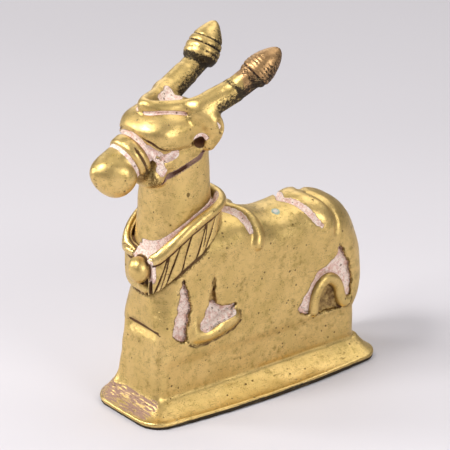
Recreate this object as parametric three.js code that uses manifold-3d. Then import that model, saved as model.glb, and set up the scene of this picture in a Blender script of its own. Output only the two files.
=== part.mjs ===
// A small cast brass bull, lying on a tall block with a flared foot, all one casting.
// Millimetres, +Z up. The bull looks along -Y and its left side is +X.
// The origin is the centre of the foot's underside, which is the flat face it stands on.

import * as THREE from 'three';
import { mergeVertices } from 'three/addons/utils/BufferGeometryUtils.js';
import Module from 'manifold-3d';

const wasm = await Module();
wasm.setup();

const { Vector2, Vector3 } = THREE;
const { sin, cos, abs, pow, min, max, sign, PI } = Math;
const lerp = THREE.MathUtils.lerp;
const smooth = THREE.MathUtils.smoothstep;

// Foot: a thin plate with bowed sides that flares out below the block.
const FOOT_LENGTH = 54.4;
const FOOT_WIDTH = 19.2;
const FOOT_BOW = 2.1;
const FOOT_CORNER = 3.6;
const FOOT_RIM = 1.3;
const FLARE_HEIGHT = 4.8;

// Trunk: the block and the body above it, one mass with a rounded back.
const BODY_WIDTH = 13.2;
const BODY_BOW = 0.35;
const CHEST_Y = -22.7;
const BODY_LENGTH = 49.4;
const CHEST_ROUND = 2.6;
const CHEST_TUCK = 1.0;
const RUMP_ROUND_PLAN = 4.2;
const RUMP_ROUND_SIDE = 12.5;
const BACK_HEIGHT = 33.7;
const SHOULDER_HEIGHT = 26.5;
const RUMP_SHOULDER = 19;
const RUMP_RISE = 0.8;
const RUMP_FALL = 12;
const BACK_POWER = 2.3;
const HUMP_Y = -4;
const HUMP_RISE = 2.0;
const HUMP_REACH = 10;
const CHEST_DROP = 8;
const CHEST_REACH = 8;
const BLOCK_HEIGHT = 10.8;
const BLOCK_CORNER = 1.8;
const BLOCK_INSET = 0.3;
const BLOCK_REAR_INSET = 1.7;
const KNEE_STEP_HEIGHT = 16.8;
const KNEE_STEP_DEPTH = 0.9;
const KNEE_SLOPE = 2.2;

// Neck and collar. The collar hangs from its rear edge down to the chest.
const NECK_Y = -14.6;
const NECK_TOP = 50;
const NECK_WIDTH = 11.5;
const NECK_DEPTH = 12.0;
const NECK_SPREAD = 2.4;
const COLLAR_WIDTH = 14.0;
const COLLAR_DEPTH = 17.0;
const COLLAR_SQUARE_REAR = 2.3;
const COLLAR_SQUARE_FRONT = 3.4;
const COLLAR_HEIGHT = 40.0;
const COLLAR_FALL = 7.6;
const COLLAR_DIP = 1.0;
const COLLAR_ROLL = 0.9;
const BAND_WIDTH = 7.2;
const BAND_WIDTH_REAR = 4.2;
const BAND_THICKNESS = 1.1;
const LEAF_STROKES = 22;
const LEAF_STROKE_DEPTH = 0.5;
const LEAF_LEAN = 0.13;
const BELL_RADIUS = 2.0;
const BELL_DROP = 2.5;
const BELL_ASIDE = 0.5;
const BELL_MOUTH_RADIUS = 1.4;

// Skull, snout and jaw, placed from the neck.
const SKULL_AHEAD = 2.0;
const SKULL_RISE = 5.4;
const SKULL_WIDTH = 14.2;
const SKULL_LENGTH = 16.4;
const SKULL_HEIGHT = 9.6;
const SKULL_POWER = 2.2;
const SNOUT_AHEAD = 7.9;
const SNOUT_BELOW = 4.0;
const SNOUT_DIP = 0.5;
const RING_RADIUS = 4.35;
const RING_WIDTH = 2.4;
const RING_ROUND = 0.7;
const MUZZLE_RADIUS = 4.35;
const MUZZLE_LENGTH = 8.8;
const MUZZLE_AHEAD = 3.9;
const MUZZLE_DROP = 0.8;
const MUZZLE_RISE = 0.22;
const JAW_WIDTH = 12.0;
const JAW_DEPTH = 3.0;
const JAW_GROOVE = 0.6;
const CHEEK_HOLLOW = 1.1;

// The ridge across the brow, each point as X, Y from the skull's middle and a height over the skull.
const RIDGE_RADIUS = 1.05;
const RIDGE_APEX = [0, -5.2, 0.8];
const RIDGE_MIDDLE = [3.0, -2.2, 0.6];
const RIDGE_END = [5.5, 3.0, 1.9];

// Ears and horns, placed from the ridge's ends. Shaped by hand, so the two horns differ a little.
const EAR_RADIUS = 2.0;
const EAR_MIDDLE = [1.5, 2.35, -4.8];
const EAR_TIP = [0.5, 1.5, -8.6];
const HORN_RADIUS = 2.35;
const HORN_SUNK = 1.0;
const FINIAL_GROOVE = 0.35;
const LEFT_HORN = {
  bend: [1.5, 6.0, 0.3],
  base: [2.9, 10.3, 4.0],
  tip: [4.1, 15.6, 8.3],
  radius: 2.9,
  length: 7.3,
};
const RIGHT_HORN = {
  bend: [1.2, 5.6, -0.6],
  base: [1.9, 10.3, 2.3],
  tip: [2.9, 14.7, 8.3],
  radius: 3.4,
  length: 8.0,
};

// Raised straps over the back: where each crosses the ridge, how far it runs rearward on its way down, the
// angle from the ridge that it reaches, and how deep its middle lies.
const HUMP_STRAP = { y: -2.7, slant: 1.3, reach: 1.4, radius: 1.15, sunk: 0.35 };
const RUMP_STRAP = { y: 11.5, slant: 3.4, reach: 1.45, radius: 1.6, sunk: 0.9 };

// Legs in relief. A pocket round each leg is sunk into the flank.
const LEG_DEPTH = 1.3;
const FORELEG_RADIUS = 1.9;
const HIND_LEG_RADIUS = 1.4;

// Pockets as Y, Z on the flank.
const FORE_FRONT_POCKET = [
  [-17.3, 26.6], [-18.2, 23], [-19.2, 18], [-18.7, 15.2], [-16.9, 14.2], [-17.2, 18], [-16.7, 22],
];
const FORE_CROOK_POCKET = [[-10.2, 28.5], [-11.3, 22], [-13.5, 16.6], [-10.5, 17], [-5.9, 19.3], [-9.8, 20.0]];
const HIND_POCKET = [
  [9.8, 14], [12.6, 18.4], [16.6, 20.6], [19.5, 23.4], [21.7, 20.4], [22.5, 16.5],
  [21.8, 13.6], [20.2, 11.6], [15.5, 11.6], [11.6, 12],
];

// Folded legs as raised bars: each point is Y, Z and how far the bar's middle stands in from the flank.
const FORELEG = [
  [-13.4, 25, 2.0], [-15.2, 19.5, 1.7], [-15.9, 16.4, 1.2], [-13.6, 15.0, 0.9], [-9.6, 15.5, 0.6], [-6.5, 16.7, 0.6],
];
const HIND_LEG = [
  [12.2, 12.4, 0.9], [13.2, 15.4, 0.9], [15.6, 17.3, 0.9], [18.3, 16.7, 0.9], [20.0, 14.2, 0.9], [22.2, 12.6, 1.0],
];

// Turns a closed geometry into a solid.
function solid(geometry) {
  const bare = geometry.index ? geometry.toNonIndexed() : geometry;
  bare.deleteAttribute('normal');
  bare.deleteAttribute('uv');
  const merged = mergeVertices(bare, 1e-4);
  return new wasm.Manifold(new wasm.Mesh({
    numProp: 3,
    vertProperties: merged.attributes.position.array,
    triVerts: new Uint32Array(merged.index.array),
  }));
}

// Closed skin over a list of rings of Vector3 with equal counts. Where it doesn't run round to its own start,
// each end is closed by a fan about its middle.
function skin(rings, round = false) {
  const count = rings[0].length;
  const points = rings.flat();
  const faces = [];
  for (let r = 0; r + (round ? 0 : 1) < rings.length; r++) {
    const next = (r + 1) % rings.length;
    for (let i = 0; i < count; i++) {
      const j = (i + 1) % count;
      const [a, b, c, d] = [r * count + i, r * count + j, next * count + j, next * count + i];
      faces.push(a, b, c, a, c, d);
    }
  }
  for (const end of round ? [] : [0, rings.length - 1]) {
    const middle = rings[end].reduce((sum, p) => sum.add(p), new Vector3()).divideScalar(count);
    const tip = points.push(middle) - 1;
    for (let i = 0; i < count; i++) {
      const a = end * count + i;
      const b = end * count + (i + 1) % count;
      faces.push(...(end ? [a, b, tip] : [b, a, tip]));
    }
  }
  const geometry = new THREE.BufferGeometry().setFromPoints(points);
  geometry.setIndex(faces);
  return geometry;
}

// Round bar along a curve. radiusAt gives the radius at a share of its length.
function bar(points, radiusAt, steps, sides) {
  const curve = new THREE.CatmullRomCurve3(points, false, 'centripetal');
  const frames = curve.computeFrenetFrames(steps, false);
  const rings = [];
  for (let s = 0; s <= steps; s++) {
    const centre = curve.getPointAt(s / steps);
    const radius = radiusAt(s / steps);
    const ring = [];
    for (let i = 0; i < sides; i++) {
      const turn = 2 * PI * i / sides;
      ring.push(centre.clone()
        .addScaledVector(frames.normals[s], cos(turn) * radius)
        .addScaledVector(frames.binormals[s], sin(turn) * radius));
    }
    rings.push(ring);
  }
  return solid(skin(rings));
}

// A radius that rounds off over the first and last share of a bar.
const roundEnds = (radius, reach, blunt = 0.25) => (share) => {
  const end = min(share, 1 - share) / reach;
  return radius * (end < 1 ? max(blunt, pow(1 - pow(1 - end, 2), 0.5)) : 1);
};

// Lathe solid about +Z from pairs of radius and height, moved by a matrix.
function turned(profile, segments, matrix) {
  const geometry = new THREE.LatheGeometry(profile.map(([r, z]) => new Vector2(r, z)), segments);
  geometry.rotateX(PI / 2);
  geometry.applyMatrix4(matrix);
  return solid(geometry);
}

// Matrix that sends +Z to a direction and the origin to a point.
function facing(point, direction) {
  const turn = new THREE.Quaternion().setFromUnitVectors(new Vector3(0, 0, 1), direction.clone().normalize());
  return new THREE.Matrix4().compose(point, turn, new Vector3(1, 1, 1));
}

// Rounded box about a centre. A power of 2 gives an ellipsoid, a higher one is fuller towards its corners.
function ellipsoid(centre, halfX, halfY, halfZ, power, segments, rows) {
  const geometry = new THREE.SphereGeometry(1, segments, rows);
  geometry.rotateX(PI / 2);
  const place = geometry.attributes.position;
  for (let i = 0; i < place.count; i++) {
    const p = new Vector3().fromBufferAttribute(place, i);
    const reach = pow(pow(abs(p.x), power) + pow(abs(p.y), power) + pow(abs(p.z), power), -1 / power);
    place.setXYZ(i, centre.x + p.x * reach * halfX, centre.y + p.y * reach * halfY, centre.z + p.z * reach * halfZ);
  }
  return solid(geometry);
}

// Squarish ring about a centre, with half sizes as vectors across and along.
function squarish(centre, across, along, sides, power) {
  const ring = [];
  for (let i = 0; i < sides; i++) {
    const turn = 2 * PI * i / sides;
    ring.push(centre.clone()
      .addScaledVector(across, pow(abs(cos(turn)), 2 / power) * sign(cos(turn)))
      .addScaledVector(along, pow(abs(sin(turn)), 2 / power) * sign(sin(turn))));
  }
  return ring;
}

// Bowed rectangle with round corners at one height. Its ends bow a fifth as much as its sides.
function planRing(halfWidth, front, rear, corner, bow, z) {
  const cornerSteps = 4;
  const edgeSteps = 4;
  const endBow = 0.2 * bow;
  const middle = (front + rear) / 2;
  const halfLength = (rear - front) / 2;
  const bowed = (x, y) => new Vector3(
    x * (1 + bow / halfWidth * (1 - pow(y / halfLength, 2))),
    middle + y * (1 + endBow / halfLength * (1 - pow(x / halfWidth, 2))),
    z,
  );
  const ring = [];
  for (const [sideX, sideY, quarter] of [[1, 1, 0], [-1, 1, 1], [-1, -1, 2], [1, -1, 3]]) {
    for (let s = 0; s <= cornerSteps; s++) {
      const turn = (quarter + s / cornerSteps) * PI / 2;
      ring.push(bowed(
        sideX * (halfWidth - corner) + corner * cos(turn),
        sideY * (halfLength - corner) + corner * sin(turn),
      ));
    }
    for (let s = 1; s < edgeSteps; s++) {
      const share = 1 - 2 * s / edgeSteps;
      ring.push(quarter % 2 === 0
        ? bowed(sideX * share * (halfWidth - corner), sideY * halfLength)
        : bowed(sideX * halfWidth, sideY * share * (halfLength - corner)));
    }
  }
  return ring;
}

const halfBody = BODY_WIDTH / 2;
const rumpY = CHEST_Y + BODY_LENGTH;

// The foot's skin runs round its rim and up a hollow curve to the block's outline.
function foot() {
  const outer = (z) => planRing(FOOT_WIDTH / 2, -FOOT_LENGTH / 2, FOOT_LENGTH / 2, FOOT_CORNER, FOOT_BOW, z);
  const inner = planRing(halfBody - BLOCK_INSET, CHEST_Y, rumpY - BLOCK_REAR_INSET, BLOCK_CORNER, BODY_BOW, 0);
  const rim = [[0, 0.97], [0.27, 1], [0.8, 0.99], [1, 0.93]];
  const levels = rim.map(([rise, out]) => [FOOT_RIM * rise, out]);
  const steps = 4;
  const innermost = -0.04;
  for (let s = 1; s <= steps; s++) {
    const share = s / steps;
    levels.push([lerp(FOOT_RIM, FLARE_HEIGHT, pow(share, 1.6)), lerp(rim.at(-1)[1], innermost, share)]);
  }
  return solid(skin(levels.map(([z, out]) => outer(z).map((p, i) => new Vector3(
    lerp(inner[i].x, p.x, out),
    lerp(inner[i].y, p.y, out),
    z,
  )))));
}

// What a round corner takes off at a share of its radius, 0 at its start and 1 at its end.
const roundOff = (radius, share) => radius * (1 - pow(max(0, 1 - share * share), 0.5));

// Half the trunk's width at a place along it.
function trunkHalfWidth(y) {
  const middle = (CHEST_Y + rumpY) / 2;
  const bow = BODY_BOW * (1 - pow((y - middle) / (BODY_LENGTH / 2), 2));
  const front = max(0, CHEST_Y + CHEST_ROUND - y) / CHEST_ROUND;
  const rear = max(0, y - rumpY + RUMP_ROUND_PLAN) / RUMP_ROUND_PLAN;
  return halfBody + bow - roundOff(CHEST_ROUND, front) - roundOff(RUMP_ROUND_PLAN, rear);
}

// Height of the back's ridge at a place along it: a hump behind the neck, a low saddle and a full rump.
function backTop(y) {
  const hump = HUMP_RISE * (1 - smooth(y, HUMP_Y, HUMP_Y + HUMP_REACH));
  const rise = RUMP_RISE * smooth(y, HUMP_Y + HUMP_REACH, rumpY - RUMP_FALL);
  const chest = CHEST_DROP * pow(max(0, CHEST_Y + CHEST_REACH - y) / CHEST_REACH, 2);
  const top = BACK_HEIGHT + hump + rise - chest;
  const rear = max(0, y - rumpY + RUMP_ROUND_SIDE) / RUMP_ROUND_SIDE;
  return RUMP_SHOULDER + (top - RUMP_SHOULDER) * pow(max(0, 1 - pow(rear, 2.4)), 1 / 2.4);
}

// Height at which the flank starts to round over to the back.
const shoulderAt = (y) => min(SHOULDER_HEIGHT, backTop(y) - 3);

// Point on the trunk's skin: an angle of 0 is the back's ridge and a quarter turn is the shoulder.
function onBack(y, angle) {
  const low = shoulderAt(y);
  return new Vector3(
    trunkHalfWidth(y) * sign(angle) * pow(abs(sin(angle)), 2 / BACK_POWER),
    y,
    low + (backTop(y) - low) * pow(abs(cos(angle)), 2 / BACK_POWER),
  );
}

// Moves a point of the trunk's outline for the sloping knee panel, the tucked chest and the block's inset rear.
function shapeEnds(p) {
  const overBlock = smooth(p.z, BLOCK_HEIGHT - 1.2, BLOCK_HEIGHT + 1.2);
  const atFront = 1 - smooth(p.y, CHEST_Y, CHEST_Y + 5);
  const slope = KNEE_STEP_DEPTH - KNEE_SLOPE * (1 - p.z / KNEE_STEP_HEIGHT);
  const panel = p.z < KNEE_STEP_HEIGHT ? slope * atFront : 0;
  const rear = -BLOCK_REAR_INSET * (1 - overBlock) * smooth(p.y, rumpY - 9, rumpY - 1);
  const tuck = CHEST_TUCK * smooth(p.z, KNEE_STEP_HEIGHT, SHOULDER_HEIGHT) * atFront;
  const inset = BLOCK_INSET * (1 - overBlock) + tuck;
  return new Vector3(p.x * (1 - inset / halfBody), p.y + panel + rear, p.z);
}

// Places along the trunk where it is drawn, close together where it rounds off.
function trunkStations() {
  const stations = [];
  const frontSteps = 4;
  const sideSteps = 4;
  const rearSteps = 8;
  for (let s = 0; s <= frontSteps; s++) stations.push(CHEST_Y + CHEST_ROUND * (1 - cos(PI / 2 * s / frontSteps)));
  for (let s = 1; s <= sideSteps; s++) {
    stations.push(lerp(CHEST_Y + CHEST_ROUND, rumpY - RUMP_ROUND_SIDE, s / sideSteps));
  }
  for (let s = 1; s <= rearSteps; s++) stations.push(rumpY - RUMP_ROUND_SIDE * (1 - sin(PI / 2 * s / rearSteps)));
  return stations;
}

// The trunk's outlines lie across it. Each end is closed by strips between its facing points, to keep its slope.
function trunk() {
  const sideLevels = [
    FLARE_HEIGHT / 2,
    FLARE_HEIGHT,
    BLOCK_HEIGHT - 1.2,
    BLOCK_HEIGHT + 1.2,
    KNEE_STEP_HEIGHT - 0.5,
    KNEE_STEP_HEIGHT + 0.3,
    lerp(KNEE_STEP_HEIGHT, SHOULDER_HEIGHT, 0.45),
  ];
  const backSteps = 7;
  const rings = trunkStations().map((y) => {
    const flank = sideLevels.map((z) => new Vector3(trunkHalfWidth(y), y, min(z, shoulderAt(y))));
    for (let s = 0; s < backSteps; s++) flank.push(onBack(y, PI / 2 * (1 - s / backSteps)));
    const mirrored = flank.map((p) => new Vector3(-p.x, p.y, p.z)).reverse();
    return [...flank, onBack(y, 0), ...mirrored].map(shapeEnds);
  });
  const count = rings[0].length;
  const faces = [];
  for (let r = 0; r + 1 < rings.length; r++) {
    for (let i = 0; i < count; i++) {
      const a = r * count + i;
      const b = r * count + (i + 1) % count;
      faces.push(a, b + count, b, a, a + count, b + count);
    }
  }
  const last = (rings.length - 1) * count;
  for (let i = 0; i < (count - 1) / 2; i++) {
    const [a, b, c, d] = [i, i + 1, count - 2 - i, count - 1 - i];
    faces.push(a, b, d);
    faces.push(last + a, last + d, last + b);
    if (b === c) continue;
    faces.push(b, c, d);
    faces.push(last + b, last + d, last + c);
  }
  const geometry = new THREE.BufferGeometry().setFromPoints(rings.flat());
  geometry.setIndex(faces);
  return solid(geometry);
}

// The neck: an upright squarish post, a little wider below.
function neck() {
  const steps = 4;
  const intoJaw = 2;
  const rings = [];
  for (let s = 0; s <= steps; s++) {
    const spread = NECK_SPREAD * pow(1 - s / steps, 2);
    rings.push(squarish(
      new Vector3(0, NECK_Y, lerp(SHOULDER_HEIGHT, NECK_TOP + intoJaw, s / steps)),
      new Vector3(NECK_WIDTH / 2 + spread / 2, 0, 0),
      new Vector3(0, NECK_DEPTH / 2 + spread, 0),
      28,
      2.6,
    ));
  }
  return solid(skin(rings));
}

// The collar's plan at a turn about the neck: a share across, and a share of its depth that is 1 on the chest.
function collarPlan(turn) {
  const power = lerp(COLLAR_SQUARE_REAR, COLLAR_SQUARE_FRONT, (1 + cos(turn)) / 2);
  const across = sign(sin(turn)) * pow(abs(sin(turn)), 2 / power);
  const along = sign(cos(turn)) * pow(abs(cos(turn)), 2 / power);
  return { across, share: (1 + along) / 2 };
}

// Point on the collar's loop: a turn about the neck from the chest, a drop below the roll and a stand-off.
function onCollar(turn, drop, stand) {
  const { across, share } = collarPlan(turn);
  return new Vector3(
    (COLLAR_WIDTH / 2 + stand) * across,
    NECK_Y - (COLLAR_DEPTH / 2 + stand) * (2 * share - 1),
    COLLAR_HEIGHT - COLLAR_FALL * share * share - COLLAR_DIP * pow(share, 12) - drop,
  );
}

const bandWidth = (turn) => lerp(BAND_WIDTH_REAR, BAND_WIDTH, smooth(collarPlan(turn).share, 0, 0.5));

// The collar: a broad band all round the neck, with a round roll along its upper edge.
function collar() {
  const steps = 32;
  const rollSides = 6;
  const turns = Array.from({ length: steps }, (_, s) => 2 * PI * s / steps);
  const level = (share, stand, below = 0) => turns.map(
    (turn) => onCollar(turn, bandWidth(turn) * share + below, stand),
  );
  const band = skin([
    level(1, -COLLAR_ROLL, BAND_WIDTH / 2),
    level(1, -BAND_THICKNESS / 2),
    level(0.92, 0),
    level(0.5, 0.1),
    level(0, 0),
    level(0, -COLLAR_ROLL / 2),
    level(0, -COLLAR_WIDTH / 4, -COLLAR_ROLL),
  ]);
  const up = new Vector3(0, 0, 1);
  const roll = turns.map((turn) => {
    const centre = onCollar(turn, 0, 0);
    const out = onCollar(turn, 0, 1).sub(centre).normalize();
    return Array.from({ length: rollSides }, (_, i) => {
      const a = 2 * PI * i / rollSides;
      return centre.clone().addScaledVector(out, COLLAR_ROLL * cos(a)).addScaledVector(up, -COLLAR_ROLL * sin(a));
    });
  });
  return solid(band).add(solid(skin(roll, true)));
}

// Slanting strokes cut into the collar's band, a leaf between each two. The rear of the neck has none.
function leafStrokes() {
  const strokes = [];
  const plainRear = 0.86;
  for (let k = 0; k < LEAF_STROKES; k++) {
    const turn = 2 * PI * (k + 0.5) / LEAF_STROKES;
    if (abs(turn - PI) > PI * plainRear) continue;
    const lean = turn < PI ? LEAF_LEAN : -LEAF_LEAN;
    const path = [0.24, 0.6, 0.96].map(
      (share) => onCollar(turn + lean * (1 - 2 * share), bandWidth(turn) * share, 0.05),
    );
    strokes.push(bar(path, () => LEAF_STROKE_DEPTH, 2, 3));
  }
  return strokes;
}

// The bell on the chest and its small mouth.
function bell() {
  const centre = onCollar(0, BELL_DROP, 0.2).add(new Vector3(BELL_ASIDE, 0, 0));
  const below = BELL_RADIUS + BELL_MOUTH_RADIUS - 0.4;
  const mouth = centre.clone().add(new Vector3(BELL_ASIDE, BELL_ASIDE, -below));
  return [
    ellipsoid(centre, BELL_RADIUS, BELL_RADIUS * 0.8, BELL_RADIUS, 2, 12, 8),
    ellipsoid(mouth, BELL_MOUTH_RADIUS, BELL_MOUTH_RADIUS * 0.8, BELL_MOUTH_RADIUS, 2, 8, 6),
  ];
}

const skullCentre = new Vector3(0, NECK_Y - SKULL_AHEAD, NECK_TOP + SKULL_RISE);
const snoutAxis = new Vector3(0, -1, -SNOUT_DIP).normalize();
const ringCentre = skullCentre.clone().add(new Vector3(0, -SNOUT_AHEAD, -SNOUT_BELOW));

// Point over the skull: X and Y from its middle, and a height over its top there.
function overSkull(side, [x, y, over]) {
  const shareX = pow(min(1, abs(2 * x / SKULL_WIDTH)), SKULL_POWER);
  const shareY = pow(min(1, abs(2 * y / SKULL_LENGTH)), SKULL_POWER);
  const top = SKULL_HEIGHT / 2 * pow(max(0, 1 - shareX - shareY), 1 / SKULL_POWER);
  return skullCentre.clone().add(new Vector3(side * x, y, top + over));
}

// The skull: a wide dome with a full brow that hangs over the jaw.
const skull = () => ellipsoid(skullCentre, SKULL_WIDTH / 2, SKULL_LENGTH / 2, SKULL_HEIGHT / 2, SKULL_POWER, 20, 12);

// The jaw and snout: a tapering bar from the neck's top to the rings.
function jaw() {
  const stations = [
    [ringCentre.y + 0.4, ringCentre.z - 0.2, RING_RADIUS - 0.5, RING_RADIUS - 0.5, SNOUT_DIP],
    [ringCentre.y + 2.4, ringCentre.z - 0.5, RING_RADIUS + 0.4, RING_RADIUS - 0.2, SNOUT_DIP],
    [ringCentre.y + 5.4, ringCentre.z + 0.5, JAW_WIDTH / 2, RING_RADIUS, 0.1],
    [NECK_Y + 2.8, NECK_TOP + 3.4, JAW_WIDTH / 2, JAW_DEPTH, 0.1],
  ];
  return solid(skin(stations.map(([y, z, halfX, halfZ, dip], i) => squarish(
    new Vector3(0, y, z),
    new Vector3(halfX, 0, 0),
    new Vector3(0, halfZ * dip, -halfZ),
    24,
    2.2 + i * 0.4,
  ))));
}

// Two rings round the snout.
function noseBands() {
  const profile = (width, radius) => {
    const steps = 3;
    const points = [[0, -width / 2]];
    for (let s = 0; s <= steps; s++) {
      const a = PI * s / steps;
      points.push([radius - RING_ROUND + RING_ROUND * sin(a), -cos(a) * width / 2]);
    }
    points.push([0, width / 2]);
    return points;
  };
  const behind = ringCentre.clone().addScaledVector(snoutAxis, -RING_WIDTH * 0.95);
  return [
    turned(profile(RING_WIDTH, RING_RADIUS), 22, facing(ringCentre, snoutAxis)),
    turned(profile(RING_WIDTH * 0.85, RING_RADIUS + 0.1), 22, facing(behind, snoutAxis)),
  ];
}

// The muzzle: a plain egg with its point forward and a little up.
function muzzle() {
  const centre = ringCentre.clone().addScaledVector(snoutAxis, MUZZLE_AHEAD).add(new Vector3(0, 0, -MUZZLE_DROP));
  const ahead = MUZZLE_LENGTH * 0.58;
  const behind = MUZZLE_LENGTH - ahead;
  const profile = [];
  const steps = 10;
  for (let s = 0; s <= steps; s++) {
    const along = -cos(PI * s / steps);
    const power = along > 0 ? 1.75 : 2;
    const radius = s === 0 || s === steps ? 0 : MUZZLE_RADIUS * pow(1 - pow(abs(along), power), 1 / power);
    profile.push([radius, along * (along > 0 ? ahead : behind)]);
  }
  return turned(profile, 18, facing(centre, new Vector3(0, -1, MUZZLE_RISE)));
}

// Cuts on one side of the head: a groove under the jaw that turns up behind it into a deep notch, and a
// hollow in the cheek behind the rings.
function cheekCuts(side) {
  const line = [[-0.8, -7.2, -2.8], [-0.1, -4.2, -1.7], [0.1, 0.4, -0.1], [0, 1.5, 1.1], [-0.1, 1.0, 2.8]];
  const groove = bar(
    line.map(([out, y, z]) => new Vector3(side * (JAW_WIDTH / 2 + out), NECK_Y + y, NECK_TOP + z)),
    (share) => JAW_GROOVE * (share > 0.8 ? 1.7 : 1),
    9,
    6,
  );
  const pit = [[-0.4, 2.4, 2.0], [0, 3.4, 0.6], [-0.8, 2.4, -1.2]];
  const hollow = bar(
    pit.map(([out, y, z]) => ringCentre.clone().add(new Vector3(side * (JAW_WIDTH / 2 + out), y, z))),
    (share) => CHEEK_HOLLOW * lerp(1, 0.45, share),
    3,
    6,
  );
  return [groove, hollow];
}

// One side of the ridge across the brow. The two meet in a V and end at the horns' roots.
function ridge(side) {
  const path = [RIDGE_APEX, RIDGE_MIDDLE, RIDGE_END].map((place) => overSkull(side, place));
  return bar(path, () => RIDGE_RADIUS, 5, 8);
}

// A point placed from the ridge's end.
const fromRidge = (side, [x, y, z]) => overSkull(side, RIDGE_END).add(new Vector3(side * x, y, z));

// A horn with a ringed bud on its end.
function horn(side, { bend, base, tip, radius, length }) {
  const root = fromRidge(side, [0, 0.6, -HORN_SUNK]);
  const foot = fromRidge(side, base);
  const stalk = bar([root, fromRidge(side, bend), foot], (share) => HORN_RADIUS * lerp(1.05, 0.92, share), 7, 12);
  const profile = [[0, -0.9], [HORN_RADIUS * 0.95, -0.7]];
  const steps = 11;
  for (let s = 0; s <= steps; s++) {
    const share = s / steps;
    const bud = pow(sin(PI * pow(0.16 + 0.84 * share, 0.62)), 0.7);
    const groove = [0.17, 0.38].some((g) => abs(share - g) < 0.5 / steps) ? FINIAL_GROOVE : 0;
    profile.push([s === steps ? 0 : radius * bud - groove, length * share]);
  }
  const direction = fromRidge(side, tip).sub(foot);
  return [stalk, turned(profile, 12, facing(foot, direction))];
}

// A drooping ear behind the brow.
function ear(side) {
  const path = [[1.0, 0.6, -1.4], EAR_MIDDLE, EAR_TIP].map((place) => fromRidge(side, place));
  return bar(path, (share) => EAR_RADIUS * lerp(0.9, 0.45, share * share), 6, 9);
}

// A raised strap over the back.
function strap({ y, slant, reach, radius, sunk }) {
  const points = [];
  const steps = 8;
  for (let s = -steps; s <= steps; s++) {
    const angle = reach * s / steps;
    const p = onBack(y + slant * abs(angle), angle);
    const inward = new Vector3(0, p.y, SHOULDER_HEIGHT).sub(p).normalize();
    points.push(p.addScaledVector(inward, sunk));
  }
  return bar(points, roundEnds(radius, 0.08), 14, 7);
}

// A pocket sunk into one flank, with straight walls and a flat floor.
function pocket(side, outline) {
  const past = 2;
  const curve = new THREE.SplineCurve([...outline, outline[0]].map(([y, z]) => new Vector2(y, z)));
  const shape = new THREE.Shape(curve.getPoints(outline.length * 2).slice(0, -1));
  const geometry = new THREE.ExtrudeGeometry(shape, { depth: LEG_DEPTH + past, bevelEnabled: false });
  const [x, y, z] = [new Vector3(1, 0, 0), new Vector3(0, 1, 0), new Vector3(0, 0, 1)];
  geometry.applyMatrix4(new THREE.Matrix4().makeBasis(y, z, x));
  geometry.translate(side > 0 ? halfBody - LEG_DEPTH : -halfBody - past, 0, 0);
  return solid(geometry);
}

// The two legs on one flank.
function legs(side) {
  const along = (leg) => leg.map(([y, z, sunk]) => new Vector3(side * (trunkHalfWidth(y) - sunk), y, z));
  return [
    bar(along(FORELEG), roundEnds(FORELEG_RADIUS, 0.05, 0.75), 10, 9),
    bar(along(HIND_LEG), () => HIND_LEG_RADIUS, 10, 9),
  ];
}

let bull = foot().add(trunk());
for (const side of [1, -1]) {
  for (const outline of [FORE_FRONT_POCKET, FORE_CROOK_POCKET, HIND_POCKET]) {
    bull = bull.subtract(pocket(side, outline));
  }
  for (const leg of legs(side)) bull = bull.add(leg);
}
bull = bull.add(neck()).add(collar());
for (const stroke of leafStrokes()) bull = bull.subtract(stroke);
for (const piece of [...bell(), strap(HUMP_STRAP), strap(RUMP_STRAP), jaw()]) bull = bull.add(piece);
for (const cut of [...cheekCuts(1), ...cheekCuts(-1)]) bull = bull.subtract(cut);
for (const piece of [skull(), ...noseBands(), muzzle()]) bull = bull.add(piece);
for (const [side, shape] of [[1, LEFT_HORN], [-1, RIGHT_HORN]]) {
  for (const piece of [ridge(side), ear(side), ...horn(side, shape)]) bull = bull.add(piece);
}

const casting = bull.getMesh();
const geometry = new THREE.BufferGeometry();
geometry.setAttribute('position', new THREE.BufferAttribute(new Float32Array(casting.vertProperties), 3));
geometry.setIndex(new THREE.BufferAttribute(new Uint32Array(casting.triVerts), 1));
geometry.computeVertexNormals();

const brass = new THREE.MeshStandardMaterial({ color: 0xb08d45, roughness: 0.36, metalness: 1 });
const figure = new THREE.Mesh(geometry, brass);
figure.name = 'bull_figure';

const part = new THREE.Group();
part.add(figure);

export default part;
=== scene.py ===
import math

import bpy
import numpy as np
from mathutils import Matrix, Vector


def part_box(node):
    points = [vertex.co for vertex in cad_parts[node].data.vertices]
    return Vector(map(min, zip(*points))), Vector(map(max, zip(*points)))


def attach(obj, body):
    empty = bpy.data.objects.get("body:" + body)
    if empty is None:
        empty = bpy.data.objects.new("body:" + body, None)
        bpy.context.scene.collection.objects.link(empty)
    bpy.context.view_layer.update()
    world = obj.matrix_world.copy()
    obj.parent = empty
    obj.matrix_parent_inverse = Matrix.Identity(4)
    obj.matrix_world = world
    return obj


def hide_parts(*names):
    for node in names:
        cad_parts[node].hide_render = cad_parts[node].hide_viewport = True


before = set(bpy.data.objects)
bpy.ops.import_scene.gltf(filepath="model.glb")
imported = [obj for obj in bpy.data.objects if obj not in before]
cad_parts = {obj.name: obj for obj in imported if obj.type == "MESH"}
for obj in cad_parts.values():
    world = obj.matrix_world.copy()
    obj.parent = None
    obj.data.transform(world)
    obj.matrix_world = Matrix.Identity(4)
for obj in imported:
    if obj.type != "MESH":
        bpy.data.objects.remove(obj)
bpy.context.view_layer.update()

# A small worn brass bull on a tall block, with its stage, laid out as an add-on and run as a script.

NODE = "bull_figure"
NODE_LOW, NODE_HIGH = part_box(NODE)
METRE = 0.001
MOST_TRIANGLES = 200000

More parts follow.
